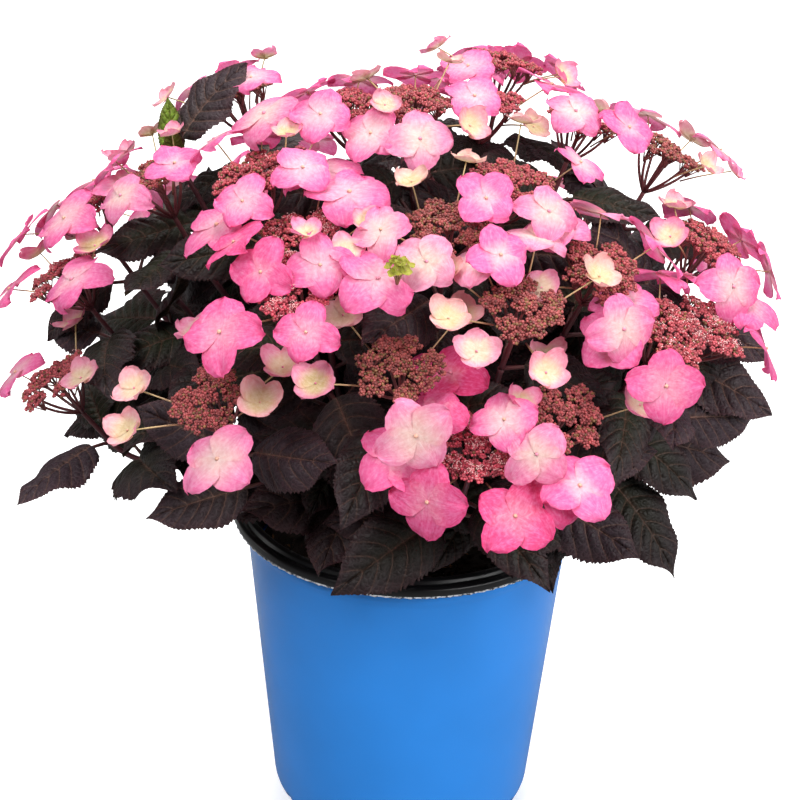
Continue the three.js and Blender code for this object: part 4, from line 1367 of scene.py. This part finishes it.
def make_buds():
    """All buds, the rays and branchlets that carry them, and the stamens of those that have burst."""
    rng = np.random.default_rng(33)
    buds, burst, rays, twigs = [], [], [], []
    for head in HEADS:
        ripe, axis = head["colour"], head["axis"]
        red = np.clip(ripe * 1.5 - 0.35 + between(-0.2, 0.2, *head["keys"], 94), 0, 1)
        own = BUD_BROWN + (BUD_RED - BUD_BROWN) * red
        for middle in bunches_of(head):
            p, w = dome_of_buds(middle, axis, rng.uniform(8.5, 10.5), rng)
            size = rng.uniform(0.9, 1.2, len(p))
            olive = rng.uniform(0, 1, (len(p), 1)) < 0.16 * (1.2 - red)
            colour = np.where(olive, BUD_OLIVE, own) * rng.uniform(0.6, 1.7, (len(p), 1))
            ripe_share = 0.8 * np.clip(ripe * 2.4 - 1.4, 0, 1) * np.linspace(1, -0.6, len(p))
            is_burst = rng.uniform(0, 1, len(p)) < ripe_share
            buds.append((p, w, size, colour))
            burst.append((p[is_burst], w[is_burst]))
            sag = (middle - head["place"]) * 0.18 - axis * 2
            rays.append((head["place"] - axis * HEAD["rays"], middle - axis * 3, sag))
            twigs.append((np.repeat((middle - axis * 7)[None], 8, axis=0), p[:96:12] - w[:96:12] * 0.5))
    places, ways, sizes, tints = (np.concatenate(v) for v in zip(*buds))
    grids = button_grids(places, ways, sizes, rows=4, sides=5, flat=1.0)
    tint = np.broadcast_to(tints[:, None, None, :], grids.shape)
    third = len(grids) // 3 + 1
    skin_of_bud = bud_skin()
    for k in range(3):
        name, some = f"buds_{k + 1}", slice(k * third, (k + 1) * third)
        piece = surface(name, grids[some] * MM, tint=tint[some], flip=True)
        piece.data.materials.append(skin_of_bud)
    low, middle, high = (0.13, 0.03, 0.035), (0.2, 0.05, 0.05), (0.22, 0.07, 0.06)
    roots, ends, sag = (np.stack(v) for v in zip(*rays))
    thread_stalks("rays", roots, ends, sag, 0.95, low, middle, rng)
    roots, ends = (np.concatenate(v) for v in zip(*twigs))
    thread_stalks("branchlets", roots, ends, 0 * ends, 0.45, middle, high, rng)
    places, ways = (np.concatenate(v) for v in zip(*burst))
    n = len(places)
    a = rng.uniform(0, 2 * np.pi, (n, 5))
    starts, axes = np.repeat(places[:, None], 5, axis=1), np.repeat(ways[:, None], 5, axis=1)
    aside = np.stack([np.cos(a), np.sin(a), 0 * a], axis=-1)
    ends = starts + axes * 2.0 + aside * 1.2
    dots = button_grids(ends.reshape(-1, 3), axes.reshape(-1, 3), np.full(5 * n, 0.33), rows=4, sides=4)
    white = np.broadcast_to(np.array([0.80, 0.52, 0.50]), dots.shape)
    stamens = surface("stamens", dots * MM, tint=white, flip=True)
    stamens.data.materials.append(skin_of_bud)


make_buds()

middles = np.stack([f["middle"] + f["normal"] * 0.5 for f in FLORETS])
normals = np.stack([f["normal"] for f in FLORETS])
dots = button_grids(middles, normals, np.array([f["radius"] for f in FLORETS]) * 0.065, rows=5, sides=7)
BUTTON_TAN, BUTTON_PINK = [0.70, 0.38, 0.28], [0.75, 0.25, 0.35]
colours = np.array([BUTTON_TAN if dice(*f["keys"], 95) < 0.5 else BUTTON_PINK for f in FLORETS])
tint = np.broadcast_to(colours[:, None, None, :], dots.shape)
buttons = surface("floret_buttons", dots * MM, tint=tint, flip=True)
buttons.data.materials.append(bud_skin())

# ----------------------------------------------------------------------------------------------
# Studio. A wide white floor, large soft lights and a long lens that looks down on the plant.

CAMERA_AT = (0.0, -1.1359, 0.8602)
CAMERA_WAY = (-0.0056, 0.8992, -0.4375)
CAMERA_ROLL = math.radians(1.49)
LENS = 85.61


def camera():
    """A camera at the viewpoint, looking along its way, with up turned by the roll."""
    forward = Vector(CAMERA_WAY).normalized()
    level = forward.cross(Vector((0, 0, 1))).normalized()
    up = level.cross(forward)
    right = math.cos(CAMERA_ROLL) * level + math.sin(CAMERA_ROLL) * up
    top = -math.sin(CAMERA_ROLL) * level + math.cos(CAMERA_ROLL) * up
    data = bpy.data.cameras.new("camera")
    data.lens, data.sensor_width, data.clip_end = LENS, 36.0, 100.0
    made = bpy.data.objects.new("camera", data)
    made.matrix_world = Matrix.Translation(CAMERA_AT) @ Matrix((right, top, -forward)).transposed().to_4x4()
    bpy.context.collection.objects.link(made)
    bpy.context.scene.camera = made


def soft_light(name, at, towards, size, power, colour=(1, 1, 1)):
    """A square soft light that faces a point."""
    data = bpy.data.lights.new(name, "AREA")
    data.size, data.energy, data.color = size, power, colour
    made = bpy.data.objects.new(name, data)
    made.location = at
    made.rotation_euler = (Vector(towards) - Vector(at)).to_track_quat("-Z", "Y").to_euler()
    bpy.context.collection.objects.link(made)


def studio():
    """The white floor, a lit table that looks brighter than the light it throws back at the plant,
    its lights, the even glow of the white room round it, which also looks brighter, and plain colours."""
    corners = np.array([[[-1, -1, 0], [1, -1, 0]], [[-1, 1, 0], [1, 1, 0]]]) * 2.4
    corners[..., 2] = -0.0002
    floor = surface("floor", corners, OPEN_GRID, False)
    material, nodes, shader = finish("white_floor", 0.9)
    seen = node(nodes, "LightPath")
    shade = node(nodes, "MapRange", To_Min=0.3, To_Max=0.92)
    chain(seen, "Is Camera Ray", "Value", shade, "Result", "Base Color", shader)
    chain(seen, "Is Camera Ray", "Emission Color", shader)
    shader.inputs["Emission Strength"].default_value = 0.35
    floor.data.materials.append(material)
    soft_light("key", (-0.9, -1.5, 2.2), (0, 0, 0.3), 0.9, 46)
    soft_light("fill", (1.4, -1.3, 1.3), (0, 0, 0.25), 0.9, 35)
    soft_light("top", (0.2, 0.2, 2.6), (0, 0, 0.3), 1.0, 52)
    soft_light("left", (-2.2, 0.4, 1.0), (0, 0, 0.3), 0.7, 7)
    soft_light("right", (2.2, 0.4, 1.0), (0, 0, 0.3), 0.7, 12)
    soft_light("backdrop", (0, 2.6, 2.2), (0, 2.3, 0), 2.0, 60)
    world = bpy.data.worlds.new("white_room")
    world.use_nodes = True
    world.node_tree.nodes["Background"].inputs["Color"].default_value = (1, 1, 1, 1)
    nodes = world.node_tree.nodes
    seen = node(nodes, "LightPath")
    glow = node(nodes, "MapRange", To_Min=0.1, To_Max=1.0)
    chain(seen, "Is Camera Ray", "Value", glow, "Result", "Strength", nodes["Background"])
    bpy.context.scene.world = world
    bpy.context.scene.view_settings.view_transform = "Standard"
    bpy.context.scene.view_settings.look = "None"


camera()
studio()
